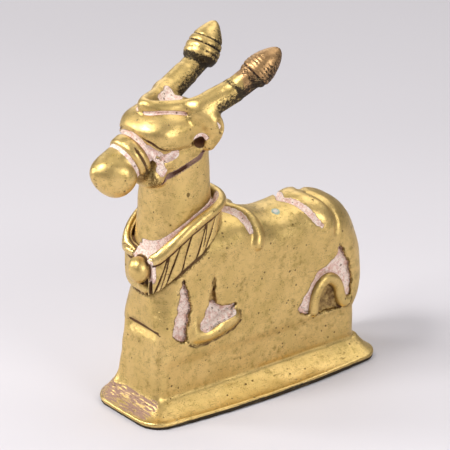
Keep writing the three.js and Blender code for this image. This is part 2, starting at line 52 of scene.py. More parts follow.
bl_info = {
    "name": "Brass bull figure",
    "version": (1, 0, 0),
    "blender": (4, 5, 0),
    "location": "3D View > Sidebar > Bull",
    "description": "Makes a small worn brass bull on a flared foot, with its stage, lights and camera",
    "category": "Add Mesh",
}

# The casting's own sizes, in millimetres. The bull looks along -Y and its left side is +X.
FOOT_BOW = 2.1
FOOT_SPREAD = 0.25
FOOT_SIDE = NODE_HIGH.x / METRE - FOOT_BOW + FOOT_SPREAD
FOOT_END = NODE_HIGH.y / METRE - 0.2 * FOOT_BOW
FOOT_CORNER = 3.6
FOOT_RIM = 1.3
RIM_OUT = 0.93
FLARE_HEIGHT = 3.9
FLARE_POWER = 1.35
FAR_CORNER_ROUND = 1.2
FAR_CORNER_RISE = 2.0
FAR_CORNER_FULLNESS = 0.25
# The foot's dark edge: black painted as the shadow under the rim, this high at the ends and more in the
# middle of each side.
DARK_EDGE = 0.55
DARK_EDGE_MIDDLE = 0.33
UNDERCUT = 0.15

BODY_HALF = 6.6
BODY_BOW = 0.35
CHEST_Y = -22.7
RUMP_Y = 26.7
CHEST_ROUND = 2.6
CHEST_TUCK = 1.0
RUMP_ROUND = 4.2
BACK_ROUND = 6.3
BACK_HEIGHT = 33.7
SHOULDER_HEIGHT = 26.5
RUMP_REACH = 12.5
RUMP_SHOULDER = 19.0
RUMP_POWER = 2.4
RUMP_RISE = 0.45
RUMP_FALL = 12.0
HUMP_Y = -4.0
HUMP_RISE = 2.0
HUMP_REACH = 10.0
CHEST_DROP = 8.0
CHEST_REACH = 8.0
BLOCK_HEIGHT = 10.8
BLOCK_INSET = 0.3
BLOCK_REAR_INSET = 1.7
BLOCK_CORNER = 1.8
KNEE_STEP_HEIGHT = 16.8
KNEE_STEP_DEPTH = 0.9
KNEE_SLOPE = 2.2
PANEL_FLAT = 3.6
PANEL_END = 6.3
LEDGE_HEIGHT = 2.6
FRONT_REACH = 5.0
RUMP_TURN = 6.5
FAR_FOOT_SPREAD = 0.8
CREASE_WIDTH = 0.5
FORELEG_EDGE = 2.1
HIND_LEG_EDGE = 1.1
HIND_LEG_RISE = 0.4

NECK_Y = -14.6
NECK_TOP = 50.0
NECK_SIDE = 5.75
NECK_DEEP = 6.0
NECK_SPREAD = 2.4
NECK_POWER = 2.6
NECK_OVERLAP = 2.0
COLLAR_SIDE = 7.0
COLLAR_DEEP = 8.5
COLLAR_SQUARE_REAR = 2.3
COLLAR_SQUARE_FRONT = 3.4
COLLAR_HEIGHT = 40.0
COLLAR_FALL = 7.6
COLLAR_DIP = 1.0
BAND_WIDTH = 7.2
BAND_WIDTH_REAR = 4.2
BAND_WALL = 1.1
BAND_EDGE = 0.7
FLUTE_DEPTH = 0.35
FLUTE_STEP = 0.95
ROLL_MIDDLE = 1.1
ROLL_GAP = 1.8
BELL = np.array([1.5, NECK_Y - COLLAR_DEEP - 0.9, 29.25])
BELL_HALF = np.array([2.25, 2.0, 2.45])
TAG = BELL + np.array([0.4, 0.9, -3.6])
TAG_HALF = np.array([1.5, 0.8, 1.0])

SKULL = np.array([0.0, -16.6, 55.4])
SKULL_HALF = np.array([7.1, 8.2, 4.8])
SNOUT_DIP = 0.5
SNOUT_AXIS = np.array([0.0, -1.0, -SNOUT_DIP]) / math.hypot(1.0, SNOUT_DIP)
RING = SKULL + np.array([0.0, -7.9, -4.0])
RING_RADIUS = 4.35
CHIN = np.array([0.4, -21.2, 47.7])
CHIN_HALF = np.array([4.6, 2.7, 2.7])
MUZZLE_RADIUS = 4.35
MUZZLE_LENGTH = 8.8
MUZZLE_AHEAD = 3.9
MUZZLE_DROP = 0.8
MUZZLE_RISE = 0.22
NOTCH_HALF = np.array([1.6, 1.8, 0.95])
JAW_SIDE = 5.6
BROW_DEPTH = 3.3
BASIN = np.array([0.0, -14.8, 61.2])
BASIN_HALF = np.array([3.3, 5.0, 1.9])

# Each horn: points from the ridge's end to the bud, the bud's tip, girth and length, the power of the sine
# that rounds it, the place and depth of each ring, and the soot on the bud and at its base.
RIDGE_END = np.array([5.5, 3.0, 4.95])
LEFT_HORN = {
    "path": [(0.0, 0.6, -0.9), (1.15, 5.4, 0.85), (2.8, 10.4, 3.9)],
    "tip": (4.1, 15.6, 8.3),
    "girth": 2.95,
    "length": 7.3,
    "power": 0.55,
    "rings": [(0.08, 0.22), (0.22, 0.07), (0.31, 0.1), (0.4, 0.07), (0.5, 0.05)],
    "bud_soot": 0.12,
    "base_soot": 0.4,
}
RIGHT_HORN = {
    "path": [(0.0, 1.2, -1.3), (0.85, 5.0, 0.15), (1.9, 10.2, 2.6)],
    "tip": (2.9, 14.7, 8.3),
    "girth": 3.4,
    "length": 8.0,
    "power": 0.62,
    "rings": [(0.17, 0.12), (0.33, 0.24), (0.5, 0.2)],
    "bud_soot": 0.16,
    "base_soot": 0.85,
}

# Outlines on the flank and the middle of the curled hind leg, as Y, Z pairs.
FORE_FRONT_POCKET = [
    (-17.4, 27.0), (-18.1, 25.0), (-18.7, 21.8), (-19.8, 18.4), (-19.9, 16.6), (-18.9, 15.2), (-17.2, 14.4),
    (-16.9, 16.3), (-16.3, 19.2), (-15.9, 21.4), (-16.5, 24.0),
]
FORE_CROOK_POCKET = [
    (-10.1, 28.4), (-11.2, 23.4), (-12.4, 19.4), (-13.6, 16.4), (-11.0, 16.6), (-5.6, 18.9), (-8.6, 19.6),
    (-10.2, 21.4),
]
HIND_POCKET = [
    (9.5, 13.7), (10.7, 15.6), (12.0, 17.4), (13.1, 18.9), (14.3, 20.2), (16.2, 20.7), (18.3, 21.8),
    (19.4, 23.9), (20.5, 22.6), (21.7, 20.0), (22.3, 17.0), (22.2, 14.2), (21.3, 11.4), (15.5, 11.4),
    (11.4, 12.2),
]
FORELEG = [
    (-16.6, 17.2), (-16.9, 15.2), (-15.9, 13.6), (-13.2, 13.1), (-9.6, 13.6), (-6.4, 14.5), (-4.7, 15.9),
    (-4.7, 17.5), (-6.2, 18.5), (-9.2, 18.1), (-12.2, 16.9), (-13.6, 17.2), (-13.4, 20.0), (-12.6, 25.0),
    (-14.3, 28.0), (-15.9, 25.0), (-15.4, 21.4),
]
HIND_LEG = [
    (13.2, 12.2), (13.5, 14.0), (14.1, 15.9), (15.2, 17.3), (16.7, 17.9), (18.3, 17.2),
    (19.4, 15.6), (19.9, 13.6), (20.6, 12.2), (22.0, 11.9),
]

# Lines on the flank where the finish differs or shade is painted, as Y, Z pairs.
FLANK_LINES = {
    "foreleg_top": [(-13.0, 16.8), (-10.4, 17.9), (-7.0, 18.6)],
    "crook_front": [(-10.2, 28.6), (-10.9, 24.0), (-11.6, 20.6), (-12.4, 18.8)],
    "crook_below": [(-11.0, 20.6), (-8.8, 19.8), (-7.0, 19.3)],
    "under_knee": [(-16.6, 13.7), (-15.0, 12.9), (-12.6, 12.8), (-9.6, 13.3)],
    "under_foreleg": [(-9.6, 13.3), (-6.2, 14.2), (-4.4, 15.6)],
    "curl_inside": [(15.5, 12.4), (16.7, 14.6), (17.9, 12.4)],
    "hind_wall": [(16.8, 21.0), (18.4, 21.7), (19.3, 23.4)],
    "middle_crack": [(2.6, 16.0), (6.0, 14.3), (9.2, 13.8)],
    "upper_crack": [(11.0, 20.9), (14.3, 20.5)],
    "lower_crack": [(7.6, 14.8), (9.8, 14.6), (12.0, 12.2)],
    "hind_floor": [(11.4, 12.0), (15.6, 11.2), (20.4, 11.0)],
}
# Cracks: the line, and the distances at which its dirt is full and gone.
CRACKS = (
    ("middle_crack", 0.1, 0.4),
    ("upper_crack", 0.1, 0.4),
    ("lower_crack", 0.2, 0.7),
    ("hind_floor", 0.1, 0.45),
)
# Dirty spots: place, reach and strength.
SPOTS = (((6.7, -20.0, 12.3), 1.6, 0.75), ((5.8, -15.9, 43.4), 0.55, 2.5))
GREEN_SPOT = (2.9, 6.8, 33.6)
RIDGE_INSIDE = [(-2.6, -17.2, 59.7), (-3.5, -13.8, 60.2), (-1.4, -13.0, 59.6), (-2.6, -16.6, 59.6)]
EAR_RIM = [(8.7, -11.6, 57.0), (8.7, -11.2, 56.5)]
EAR_TOP = [(7.2, -11.6, 59.3), (7.9, -10.4, 58.3)]
UNDER_JAW = [(3.4, -23.4, 48.6), (4.4, -22.0, 46.7)]
UNDER_BROW = [(5.6, -21.6, 53.8), (6.0, -19.6, 53.6)]


# Field helpers. A field is the distance in millimetres from each point to a surface, negative inside it.

def ease(value, start, end):
    """A share that goes smoothly from 0 at start to 1 at end."""
    t = np.clip((value - start) / (end - start), 0.0, 1.0)
    return t * t * (3.0 - 2.0 * t)


def fade(value, start, end):
    """A share that goes smoothly from 1 at start to 0 at end."""
    return 1.0 - ease(value, start, end)


def join(a, b, blend):
    """The lesser of two distances, lowered by a parabola where they differ by less than blend."""
    near = np.maximum(blend - np.abs(a - b), 0.0) / blend
    return np.minimum(a, b) - near * near * blend / 4.0


def overlap(a, b, blend):
    """The greater of two distances, raised by a parabola where they differ by less than blend."""
    near = np.maximum(blend - np.abs(a - b), 0.0) / blend
    return np.maximum(a, b) + near * near * blend / 4.0


def cut(a, b, blend):
    """The first shape without the second, its new edge rounded over blend."""
    return overlap(a, -b, blend)


def round_corner(a, b, radius):
    """Where two walls meet: the greater distance, with a quarter circle of a given radius at the corner."""
    out = np.hypot(np.maximum(a + radius, 0.0), np.maximum(b + radius, 0.0))
    return np.minimum(np.maximum(a, b), -radius) + out


def curve(points, count):
    """Smooth path through points: a Catmull-Rom spline, read off at even shares of its spans."""
    p = np.asarray(points, float)
    p = np.vstack([2 * p[0] - p[1], p, 2 * p[-1] - p[-2]])
    share = np.linspace(0.0, len(p) - 3.0, count)
    span = np.minimum(share.astype(int), len(p) - 4)
    t = (share - span)[:, None]
    a, b, c, d = p[span], p[span + 1], p[span + 2], p[span + 3]
    return 0.5 * (2 * b + (c - a) * t + (2 * a - 5 * b + 4 * c - d) * t**2 + (3 * b - a - 3 * c + d) * t**3)


def tube(p, path, radii):
    """Least distance to a chain of straight pieces, less a radius that runs evenly along each piece."""
    radii = np.broadcast_to(radii, len(path))
    best = np.full(len(p), 1e3)
    for a, b, from_radius, to_radius in zip(path[:-1], path[1:], radii[:-1], radii[1:]):
        run = b - a
        share = np.clip((p - a) @ run / (run @ run), 0.0, 1.0)
        gap = np.linalg.norm(p - a - share[:, None] * run, axis=1)
        best = np.minimum(best, gap - from_radius - (to_radius - from_radius) * share)
    return best


def lump(p, centre, half, power=2.0):
    """Rounded box: the power mean of the shares of its half sizes, less one, times the least of them."""
    share = np.abs((p - centre) / half) ** power
    return (share.sum(axis=1) ** (1.0 / power) - 1.0) * np.min(half)


def along_axis(p, origin, axis):
    """Height of each point along an axis through an origin, and its distance from that axis."""
    away = p - origin
    height = away @ axis
    return height, np.linalg.norm(away - height[:, None] * axis, axis=1)


class Outline:
    """Distance to a closed line in a plane, worked out once on a fine grid and read between its points."""

    STEP = 0.2
    MARGIN = 4.0

    def __init__(self, points, tags=None):
        points = np.asarray(points, float)
        self.low = points.min(0) - self.MARGIN
        count = np.ceil((points.max(0) + self.MARGIN - self.low) / self.STEP).astype(int) + 1
        u, v = np.meshgrid(*(self.low[i] + self.STEP * np.arange(count[i]) for i in range(2)), indexing="ij")
        best = np.full(u.shape, 1e6)
        inside = np.zeros(u.shape, bool)
        tag = np.zeros(u.shape)
        ends = np.roll(points, -1, axis=0)
        for i, ((au, av), (bu, bv)) in enumerate(zip(points, ends)):
            run = np.array([bu - au, bv - av])
            share = np.clip(((u - au) * run[0] + (v - av) * run[1]) / max(run @ run, 1e-9), 0.0, 1.0)
            gap = np.hypot(u - au - share * run[0], v - av - share * run[1])
            closer = gap < best
            best = np.where(closer, gap, best)
            if tags is not None:
                tag = np.where(closer, tags[i] + share * math.hypot(*run), tag)
            if av != bv:
                crosses = ((av > v) != (bv > v)) & (u < au + (v - av) / (bv - av) * (bu - au))
                inside ^= crosses
        self.distance = np.where(inside, -best, best)
        self.tag = tag

    def read(self, table, u, v):
        """A table's value between its four nearest points, weighed by how near each of them is."""
        i = np.clip((u - self.low[0]) / self.STEP, 0.0, table.shape[0] - 1.001)
        j = np.clip((v - self.low[1]) / self.STEP, 0.0, table.shape[1] - 1.001)
        a, b = i.astype(int), j.astype(int)
        s, t = i - a, j - b
        top = table[a, b] * (1 - s) + table[a + 1, b] * s
        return top * (1 - t) + (table[a, b + 1] * (1 - s) + table[a + 1, b + 1] * s) * t

    def __call__(self, u, v):
        return self.read(self.distance, u, v)


# The casting's own forms.

def foot_lift(y):
    """Height of the dark edge under the foot's rim, more in the middle of each side: black painted as the
    foot's shadow, and the top of the undercut.
    """
    return DARK_EDGE + DARK_EDGE_MIDDLE * np.clip(1.0 - (y / FOOT_END) ** 2, 0.0, 1.0)


def back_height(y):
    """Height of the back's ridge: a hump behind the neck, a low saddle, and a rump that rounds off."""
    hump = HUMP_RISE * fade(y, HUMP_Y, HUMP_Y + HUMP_REACH)
    rise = RUMP_RISE * ease(y, HUMP_Y + HUMP_REACH, RUMP_Y - RUMP_FALL)
    chest = CHEST_DROP * (np.maximum(0.0, CHEST_Y + CHEST_REACH - y) / CHEST_REACH) ** 2
    rear = np.maximum(0.0, y - RUMP_Y + RUMP_REACH) / RUMP_REACH
    fall = np.maximum(0.0, 1.0 - rear**RUMP_POWER) ** (1.0 / RUMP_POWER)
    return RUMP_SHOULDER + (BACK_HEIGHT + hump + rise - chest - RUMP_SHOULDER) * fall


def side_outline():
    """The trunk from the side: its back's ridge, closed by its front, its underside and its rear."""
    y = CHEST_Y + (RUMP_Y - CHEST_Y) * np.sin(np.linspace(0.0, math.pi / 2, 90))
    top = np.stack([y, back_height(y)], axis=1)
    return Outline(np.vstack([[(CHEST_Y, 1.0)], top, [(RUMP_Y, 1.0)]]))


def flank_half(y):
    """Half the trunk's width before its corners are rounded, a little more in the middle."""
    middle = (CHEST_Y + RUMP_Y) / 2
    return BODY_HALF + BODY_BOW * (1.0 - ((y - middle) / (RUMP_Y - middle)) ** 2)


def collar_loop():
    """The collar from above: an oval, squarer on the chest, tagged with the length run from the chest."""
    turn = 2 * math.pi * np.arange(360) / 360
    power = COLLAR_SQUARE_REAR + (COLLAR_SQUARE_FRONT - COLLAR_SQUARE_REAR) * (1 + np.cos(turn)) / 2
    x = COLLAR_SIDE * np.sign(np.sin(turn)) * np.abs(np.sin(turn)) ** (2 / power)
    y = NECK_Y - COLLAR_DEEP * np.sign(np.cos(turn)) * np.abs(np.cos(turn)) ** (2 / power)
    points = np.stack([x, y], axis=1)
    steps = np.linalg.norm(np.diff(points, axis=0), axis=1)
    loop = Outline(points, tags=np.concatenate([[0.0], np.cumsum(steps)]))
    loop.tag = np.minimum(loop.tag, loop.tag.max() - loop.tag)
    return loop


def closed_outline(points):
    """Outline through a few points: a smooth closed curve with eight steps to a span."""
    p = np.asarray(points, float)
    wrapped = np.vstack([p[-2:], p, p[:2]])
    spans = len(p) + 3
    full = curve(wrapped, spans * 8 + 1)
    return Outline(full[16:16 + len(p) * 8])


# Places on the casting, as X, Y, Z of its left side; the brow's edge, the pit's arms, the jaw's groove and
# the groove below the ridge are laid on the surface before use.
BROW_EDGE = [
    (2.3, -24.3, 56.3), (3.5, -23.8, 55.6), (4.5, -23.1, 55.1), (5.2, -22.2, 54.2), (5.6, -21.0, 53.4),
    (5.8, -19.8, 52.9), (6.0, -18.2, 52.5), (6.2, -16.7, 52.8), (6.5, -15.7, 53.6), (6.7, -14.9, 54.3),
]
PIT_ARMS = [
    [(4.6, -22.7, 52.7), (4.9, -21.8, 51.6), (4.7, -21.3, 50.2), (4.5, -20.7, 48.9)],
    [(4.9, -21.8, 51.8), (5.5, -20.3, 51.5), (6.0, -18.6, 52.1)],
    [(4.1, -23.4, 53.6), (4.7, -22.6, 52.8), (5.2, -21.6, 52.0)],
]
JAW_GROOVE = [
    (4.3, -20.6, 46.7), (5.3, -18.9, 47.8), (5.9, -16.9, 48.8), (6.0, -14.6, 49.6), (5.9, -12.8, 50.3),
    (5.9, -12.3, 51.6), (6.0, -12.6, 53.0),
]
NOTCH = np.array([6.4, -13.4, 53.6])
RIDGE_ARM = [
    (0.0, -21.0, 60.45), (0.6, -20.8, 60.4), (1.2, -20.3, 60.3), (2.0, -19.2, 60.2), (2.9, -17.6, 60.1),
    (4.1, -15.2, 60.1), (5.5, -12.9, 60.2),
]
# The groove below the ridge lies this far from the ridge's own points.
RIDGE_GROOVE = np.array([0.9, -0.85, -1.0])
EAR = [(5.6, -13.6, 59.3), (7.2, -12.2, 58.3), (7.9, -11.3, 56.8), (7.6, -11.1, 54.9), (6.7, -11.6, 52.6)]

# Lines over the back: an angle from the ridge, 0, to the shoulder, a quarter turn, and the place along Y.
HUMP_STRAP = [(0.0, -2.6), (0.3, -0.9), (0.6, -0.3), (0.95, 0.1), (1.22, -0.5)]
HUMP_HOLLOW = [(0.0, -4.6), (0.2, -3.4), (0.42, -2.4), (0.65, -2.0), (0.93, -1.7)]
RUMP_STRAP = [(0.0, 13.1), (0.3, 14.0), (0.6, 15.1), (0.9, 16.0), (1.2, 16.6), (1.5, 16.9)]
RUMP_HOLLOW = [(0.0, 10.2), (0.2, 11.1), (0.45, 11.9), (0.74, 12.8), (1.06, 13.8), (1.24, 14.9)]
RUMP_GROOVE = [(0.12, 15.9), (0.3, 16.6), (0.55, 17.6), (0.82, 18.4), (1.05, 18.8), (1.25, 18.8), (1.5, 18.4)]


def slope_of(field, p, value, step=0.02):
    """Slope of a field at each point, from its change over a short step along each axis."""
    shifted = np.concatenate([p + step * np.eye(3)[i] for i in range(3)])
    return (in_batches(field, shifted).reshape(3, -1).T - value[:, None]) / step


def lay_on(field, places, lift, count=24):
    """Smooth path through a few places, taken down the field's slope to its surface, then lifted off it."""
    path = curve(places, count)
    for height in (0.0, 0.0, 0.0, lift):
        value = field(path)
        slope = slope_of(field, path, value)
        path = path - (value / np.maximum((slope * slope).sum(axis=1), 0.25))[:, None] * slope
        path = path + height * slope / np.linalg.norm(slope, axis=1)[:, None]
    return path


def over_back(line):
    """Places over the back: an oval in X and Z, whose quarter runs from the ridge to the shoulder."""
    angle, y = np.array(line, float).T
    x = (BODY_HALF + 0.3) * np.sin(angle) ** 0.87
    z = SHOULDER_HEIGHT + (back_height(y) - SHOULDER_HEIGHT) * np.maximum(np.cos(angle), 0.0) ** 0.87
    return np.stack([x, y, z], axis=1)


def mirrored(p):
    """The same points, all on the left side."""
    return p * np.where(p[:, :1] < 0.0, (-1.0, 1.0, 1.0), (1.0, 1.0, 1.0))


def taper(count, thick, thin):
    """Radii along a path, thick until its last third and thin at its end."""
    return np.interp(np.linspace(0, 1, count), [0, 0.65, 1], [thick, thick, thin])


class Casting:
    """The whole casting as fields: the body, the collar, and the head with its neck."""

    HUMP_HOLLOW_RADII = taper(24, 0.62, 0.4)
    RUMP_HOLLOW_RADII = taper(24, 0.6, 0.22)

    def __init__(self, sizes):
        self.s = sizes
        self.side = side_outline()
        self.loop = collar_loop()
        self.half_loop = self.loop.tag.max()
        self.pockets = [closed_outline(o) for o in (FORE_FRONT_POCKET, FORE_CROOK_POCKET, HIND_POCKET)]
        self.foreleg = closed_outline(FORELEG)
        strap_lines = (HUMP_HOLLOW, HUMP_STRAP, RUMP_HOLLOW, RUMP_STRAP, RUMP_GROOVE)
        lifts = (0.25, -0.35, 0.05, -self.s.rump_strap, 0.35)
        self.over = [lay_on(self.trunk, over_back(line), lift) for line, lift in zip(strap_lines, lifts)]
        self.brow_edge = lay_on(self.head_base, BROW_EDGE, 0.0, 30)
        self.pit_arms = [lay_on(self.head_base, arm, 0.1, 10) for arm in PIT_ARMS]
        self.jaw_groove = lay_on(self.head_base, JAW_GROOVE, 0.05, 26)
        self.ridge = curve(RIDGE_ARM, 18)
        self.ridge_line = lay_on(self.head_base, np.array(RIDGE_ARM) + RIDGE_GROOVE, 0.1, 18)
        self.ear = curve(EAR, 20)

    def __call__(self, p):
        """The whole: the least of its pieces' fields, each worked out only where it may be near."""
        z = p[:, 2]
        field = np.full(len(p), 6.0)
        at_collar = (z > 20.0) & (z < 46.0)
        for piece, near in ((self.body, z < 42.0), (self.collar, at_collar), (self.head, z > 24.0)):
            if near.any():
                field[near] = np.minimum(field[near], piece(p[near]))
        return field

    def unevenness(self, p):
        """Hand-finished surface: three slow waves, some hundredths of a millimetre high."""
        x, y, z = p.T
        waves = np.sin(0.9 * x + 0.62 * y + 0.21 * z) + np.sin(0.35 * y - 0.83 * z + 1.7)
        waves = waves + 0.7 * np.sin(1.25 * z + 0.9 * y - 0.5 * x + 0.4)
        return self.s.unevenness * waves * ease(z, 0.0, 2.0)

    def body(self, p):
        """Trunk on its foot, with the legs' relief and the straps over its back."""
        field = join(self.trunk(p), self.foot(p), 0.45 + 1.1 * ease(-p[:, 1], 21.8, 23.4))
        field = self.flank_relief(p, field)
        field = self.straps(p, field)
        return field + self.unevenness(p)

    def trunk(self, p):
        """Side outline and flanks, joined by a corner rounder at the back, with a crease across the chest."""
        x, y, z = p.T
        ax = np.abs(x)
        over_block = ease(z, BLOCK_HEIGHT - 1.2, BLOCK_HEIGHT + 1.2)
        at_front = fade(y, CHEST_Y, CHEST_Y + FRONT_REACH)
        crease = KNEE_STEP_HEIGHT + 0.1 * (1.0 - (x / 4.0) ** 2)
        below_step = fade(z, crease - 0.15, crease + 0.15)
        depth = KNEE_STEP_DEPTH * fade(ax, PANEL_FLAT, PANEL_END)
        ledge = fade(crease - z, -0.6, LEDGE_HEIGHT)
        panel = depth * (0.5 + 0.95 * ledge) - KNEE_SLOPE * (1.0 - z / KNEE_STEP_HEIGHT)
        panel = panel * below_step * at_front
        rump_turn = 1.0 - np.clip((z - BLOCK_HEIGHT + 0.6) / RUMP_TURN, 0.0, 1.0)
        rear = BLOCK_REAR_INSET * rump_turn**2.2 * ease(y, RUMP_Y - 9.0, RUMP_Y - 1.0)
        far_foot = FAR_FOOT_SPREAD * fade(z, 3.0, 15.0) * at_front * (x < 0.0)
        tuck = CHEST_TUCK * ease(z, KNEE_STEP_HEIGHT, SHOULDER_HEIGHT) * at_front
        flank = ax - flank_half(y) + tuck + BLOCK_INSET * (1.0 - over_block) - far_foot
        profile = self.side(y - panel + rear, z)
        low_round = np.where(y < 0.0, CHEST_ROUND, RUMP_ROUND)
        radius = low_round + (BACK_ROUND - low_round) * ease(z, 17.0, 29.0)
        block = round_corner(flank, profile, radius)
        shown = ease(x, -4.6, -2.8) * fade(x, 4.6, 6.0)
        groove = np.hypot((z - crease - 0.3) / 1.3, y - CHEST_Y + 0.15) - (CREASE_WIDTH - 0.03 * x) * shown
        return cut(block, groove, 0.2)

    def foot(self, p):
        """Thin plate that rises in a hollow curve to the block: its height falls with the way out."""
        x, y, z = p.T
        corner = FOOT_CORNER + FAR_CORNER_ROUND * (x < 0.0) * (y < 0.0)
        outer = self.plan(x, y, FOOT_SIDE, FOOT_END, -FOOT_END, corner, FOOT_BOW)
        rear = RUMP_Y - BLOCK_REAR_INSET
        inner = self.plan(x, y, BODY_HALF - BLOCK_INSET, rear, CHEST_Y - 0.6, BLOCK_CORNER, BODY_BOW)
        out = np.clip(inner / np.maximum(inner - outer, 1e-3), 0.0, 1.0)
        far_corner = ease(-x, 2.5, 6.5) * ease(-y, 19.0, 23.0)
        rise = (1.0 - np.minimum(out / RIM_OUT, 1.0)) ** (FLARE_POWER - FAR_CORNER_FULLNESS * far_corner)
        top = FOOT_RIM + (FLARE_HEIGHT + FAR_CORNER_RISE * far_corner - FOOT_RIM) * rise
        undercut = UNDERCUT * fade(z, foot_lift(y) - 0.15, foot_lift(y) + 0.1)
        return overlap(round_corner(outer + undercut, z - top, 0.4), -z, 0.1)

    @staticmethod
    def plan(x, y, half, rear, front, corner, bow):
        """Distance to a rectangle with round corners, after its bowed sides are straightened."""
        middle, reach = (rear + front) / 2, (rear - front) / 2
        u = x / (1.0 + bow / half * np.clip(1.0 - ((y - middle) / reach) ** 2, 0.0, 1.0))
        v = (y - middle) / (1.0 + 0.2 * bow / reach * np.clip(1.0 - (x / half) ** 2, 0.0, 1.0))
        du = np.abs(u) - half + corner
        dv = np.abs(v) - reach + corner
        return np.hypot(np.maximum(du, 0), np.maximum(dv, 0)) + np.minimum(np.maximum(du, dv), 0) - corner

    def pocket_edges(self, y, z):
        """Distance to each pocket's outline in the flank's plane, its edge made uneven by two short waves."""
        waves = 0.13 * np.sin(2.1 * z + 0.9 * y) + 0.08 * np.sin(4.3 * z - 2.6 * y + 1.0)
        return [outline(y, z) + waves for outline in self.pockets]

    def flank_relief(self, p, field):
        """Pockets sunk into both flanks by the relief's depth, with a raised bar along each folded leg."""
        near = (np.abs(p[:, 0]) > BODY_HALF - 4.0) & (p[:, 2] > 8.0) & (p[:, 2] < 31.0)
        q = mirrored(p[near])
        part = field[near]
        x, y, z = q.T
        fading = 1.0 - ease(z, 19.5, 29.0) * (y < 0.0) * (y > -14.0)
        crest = np.interp(y, [-13.6, -9.0, -5.0], [16.9, 17.9, 18.3])
        sloping = np.where(y < -15.0, 1.0, 0.45 + 0.8 * ease(z - crest, 0.0, 2.2))
        sloping = np.where(y > 0.0, 0.7 + 0.4 * ease(z, 14.5, 20.5), sloping)
        floor = flank_half(y) - self.s.relief_depth * fading * sloping - x
        for edge in self.pocket_edges(y, z):
            part = cut(part, overlap(edge, floor, 0.5), 0.35)
        fall = 1.3 * ease(z, 13.5, 25.0) * fade(y, -13.5, -9.5)
        rise = self.s.foreleg_rise * (0.5 + 0.5 * ease(y, -18.0, -11.0)) - fall
        bar = round_corner(self.foreleg(y, z), x - flank_half(y) - rise, FORELEG_EDGE)
        part = join(part, bar, 0.15)
        middle = curve([(0, leg_y, leg_z) for leg_y, leg_z in HIND_LEG], 30)
        curl = tube(q * (0, 1, 1), middle, self.s.hind_leg_girth)
        curl = round_corner(curl, x - flank_half(y) - HIND_LEG_RISE, HIND_LEG_EDGE)
        part = join(part, curl, 0.2)
        field = field.copy()
        field[near] = part
        return field

    def straps(self, p, field):
        """Two raised straps over the back, a hollow in front of each and a groove behind the second."""
        near = (p[:, 2] > 22.0) & (p[:, 1] > -9.0)
        q = mirrored(p[near])
        part = field[near]
        hump_hollow, hump, rump_hollow, rump, rump_groove = self.over
        rump_radii = (self.s.rump_strap + 0.35) * taper(24, 1.0, 0.85)
        part = join(part, tube(q, rump, rump_radii), 1.2)
        part = cut(part, tube(q, rump_groove, 0.62), 0.7)
        part = cut(part, tube(q, rump_hollow, self.RUMP_HOLLOW_RADII), 0.25)
        part = join(part, tube(q, hump, self.s.hump_strap), 0.4)
        part = cut(part, tube(q, hump_hollow, self.HUMP_HOLLOW_RADII), 0.25)
        field = field.copy()
        field[near] = part
        return field

    def neck(self, p):
        """Upright post whose section is a squarish oval, wider towards its foot."""
        x, y, z = p.T
        rise = np.clip((z - SHOULDER_HEIGHT) / (NECK_TOP - SHOULDER_HEIGHT), 0, 1)
        spread = NECK_SPREAD * (1.0 - rise) ** 2
        side, deep = NECK_SIDE + spread / 2, NECK_DEEP + spread
        share = np.abs(x / side) ** NECK_POWER + np.abs((y - NECK_Y) / deep) ** NECK_POWER
        wall = (share ** (1 / NECK_POWER) - 1.0) * side
        return overlap(overlap(wall, z - NECK_TOP - NECK_OVERLAP, 1.0), SHOULDER_HEIGHT + 1.0 - z, 1.0)

    @staticmethod
    def roll_height(y):
        """Height of the collar's roll, which falls towards the chest, and the share of the way there."""
        share = np.clip((1.0 - (y - NECK_Y) / COLLAR_DEEP) / 2, 0.0, 1.0)
        return COLLAR_HEIGHT - COLLAR_FALL * share**2 - COLLAR_DIP * share**12, share

    @staticmethod
    def roll_steepness(share):
        """Cosine of the roll's slant, which turns an upright distance into one across the roll."""
        return 1.0 / np.sqrt(1.0 + (COLLAR_FALL * share / COLLAR_DEEP) ** 2)

    @staticmethod
    def band_width(share):
        """Width of the band of leaves, which grows from the rear to the middle of each side."""
        return BAND_WIDTH_REAR + (BAND_WIDTH - BAND_WIDTH_REAR) * ease(share, 0.0, 0.5)

    def roll_radii(self, x, y):
        """Radius of the collar's roll, which thins towards its two ends on the chest and on the far side."""
        at_end = fade(np.abs(x - ROLL_MIDDLE), 1.6, 6.0) * (y < NECK_Y)
        far_side = ease(-x, 1.0, 4.0) * fade(y, -18.0, -12.0)
        return self.s.roll_radius * (1.0 - 0.6 * at_end - 0.35 * far_side * (1.0 - at_end))

    def collar(self, p):
        """Band with leaves round the neck's foot, a roll along its upper edge and a bell on the chest."""
        x, y, z = p.T
        out = self.loop(x, y)
        run = self.loop.read(self.loop.tag, x, y)
        roll, share = self.roll_height(y)
        width = self.band_width(share)
        drop = np.clip(roll - z, 0.0, width)
        face = out + self.leaves(np.sign(x) * run, drop, width)
        floor = roll - 0.45 - 2.6 * ease(-x, 0.0, 4.0) * ease(y, -21.5, -19.0)
        drum = overlap(overlap(face, roll - width - z, BAND_EDGE), z - floor, 0.4)
        wall = overlap(np.maximum(face, -out - BAND_WALL), z - roll, 0.4)
        wall = overlap(wall, roll - width - z, BAND_EDGE)
        part = join(drum, wall, 0.2)
        rope = np.hypot(out - 0.05, (z - roll) * self.roll_steepness(share)) - self.roll_radii(x, y)
        front_gap = np.where(y < NECK_Y, ROLL_GAP - np.abs(x - ROLL_MIDDLE), -9.0)
        part = join(part, overlap(rope, front_gap, 0.9), 0.2)
        part = join(part, lump(p, TAG, TAG_HALF), 0.3)
        return join(part, lump(p, BELL, BELL_HALF, 2.1), 0.1) + 0.5 * self.unevenness(p)

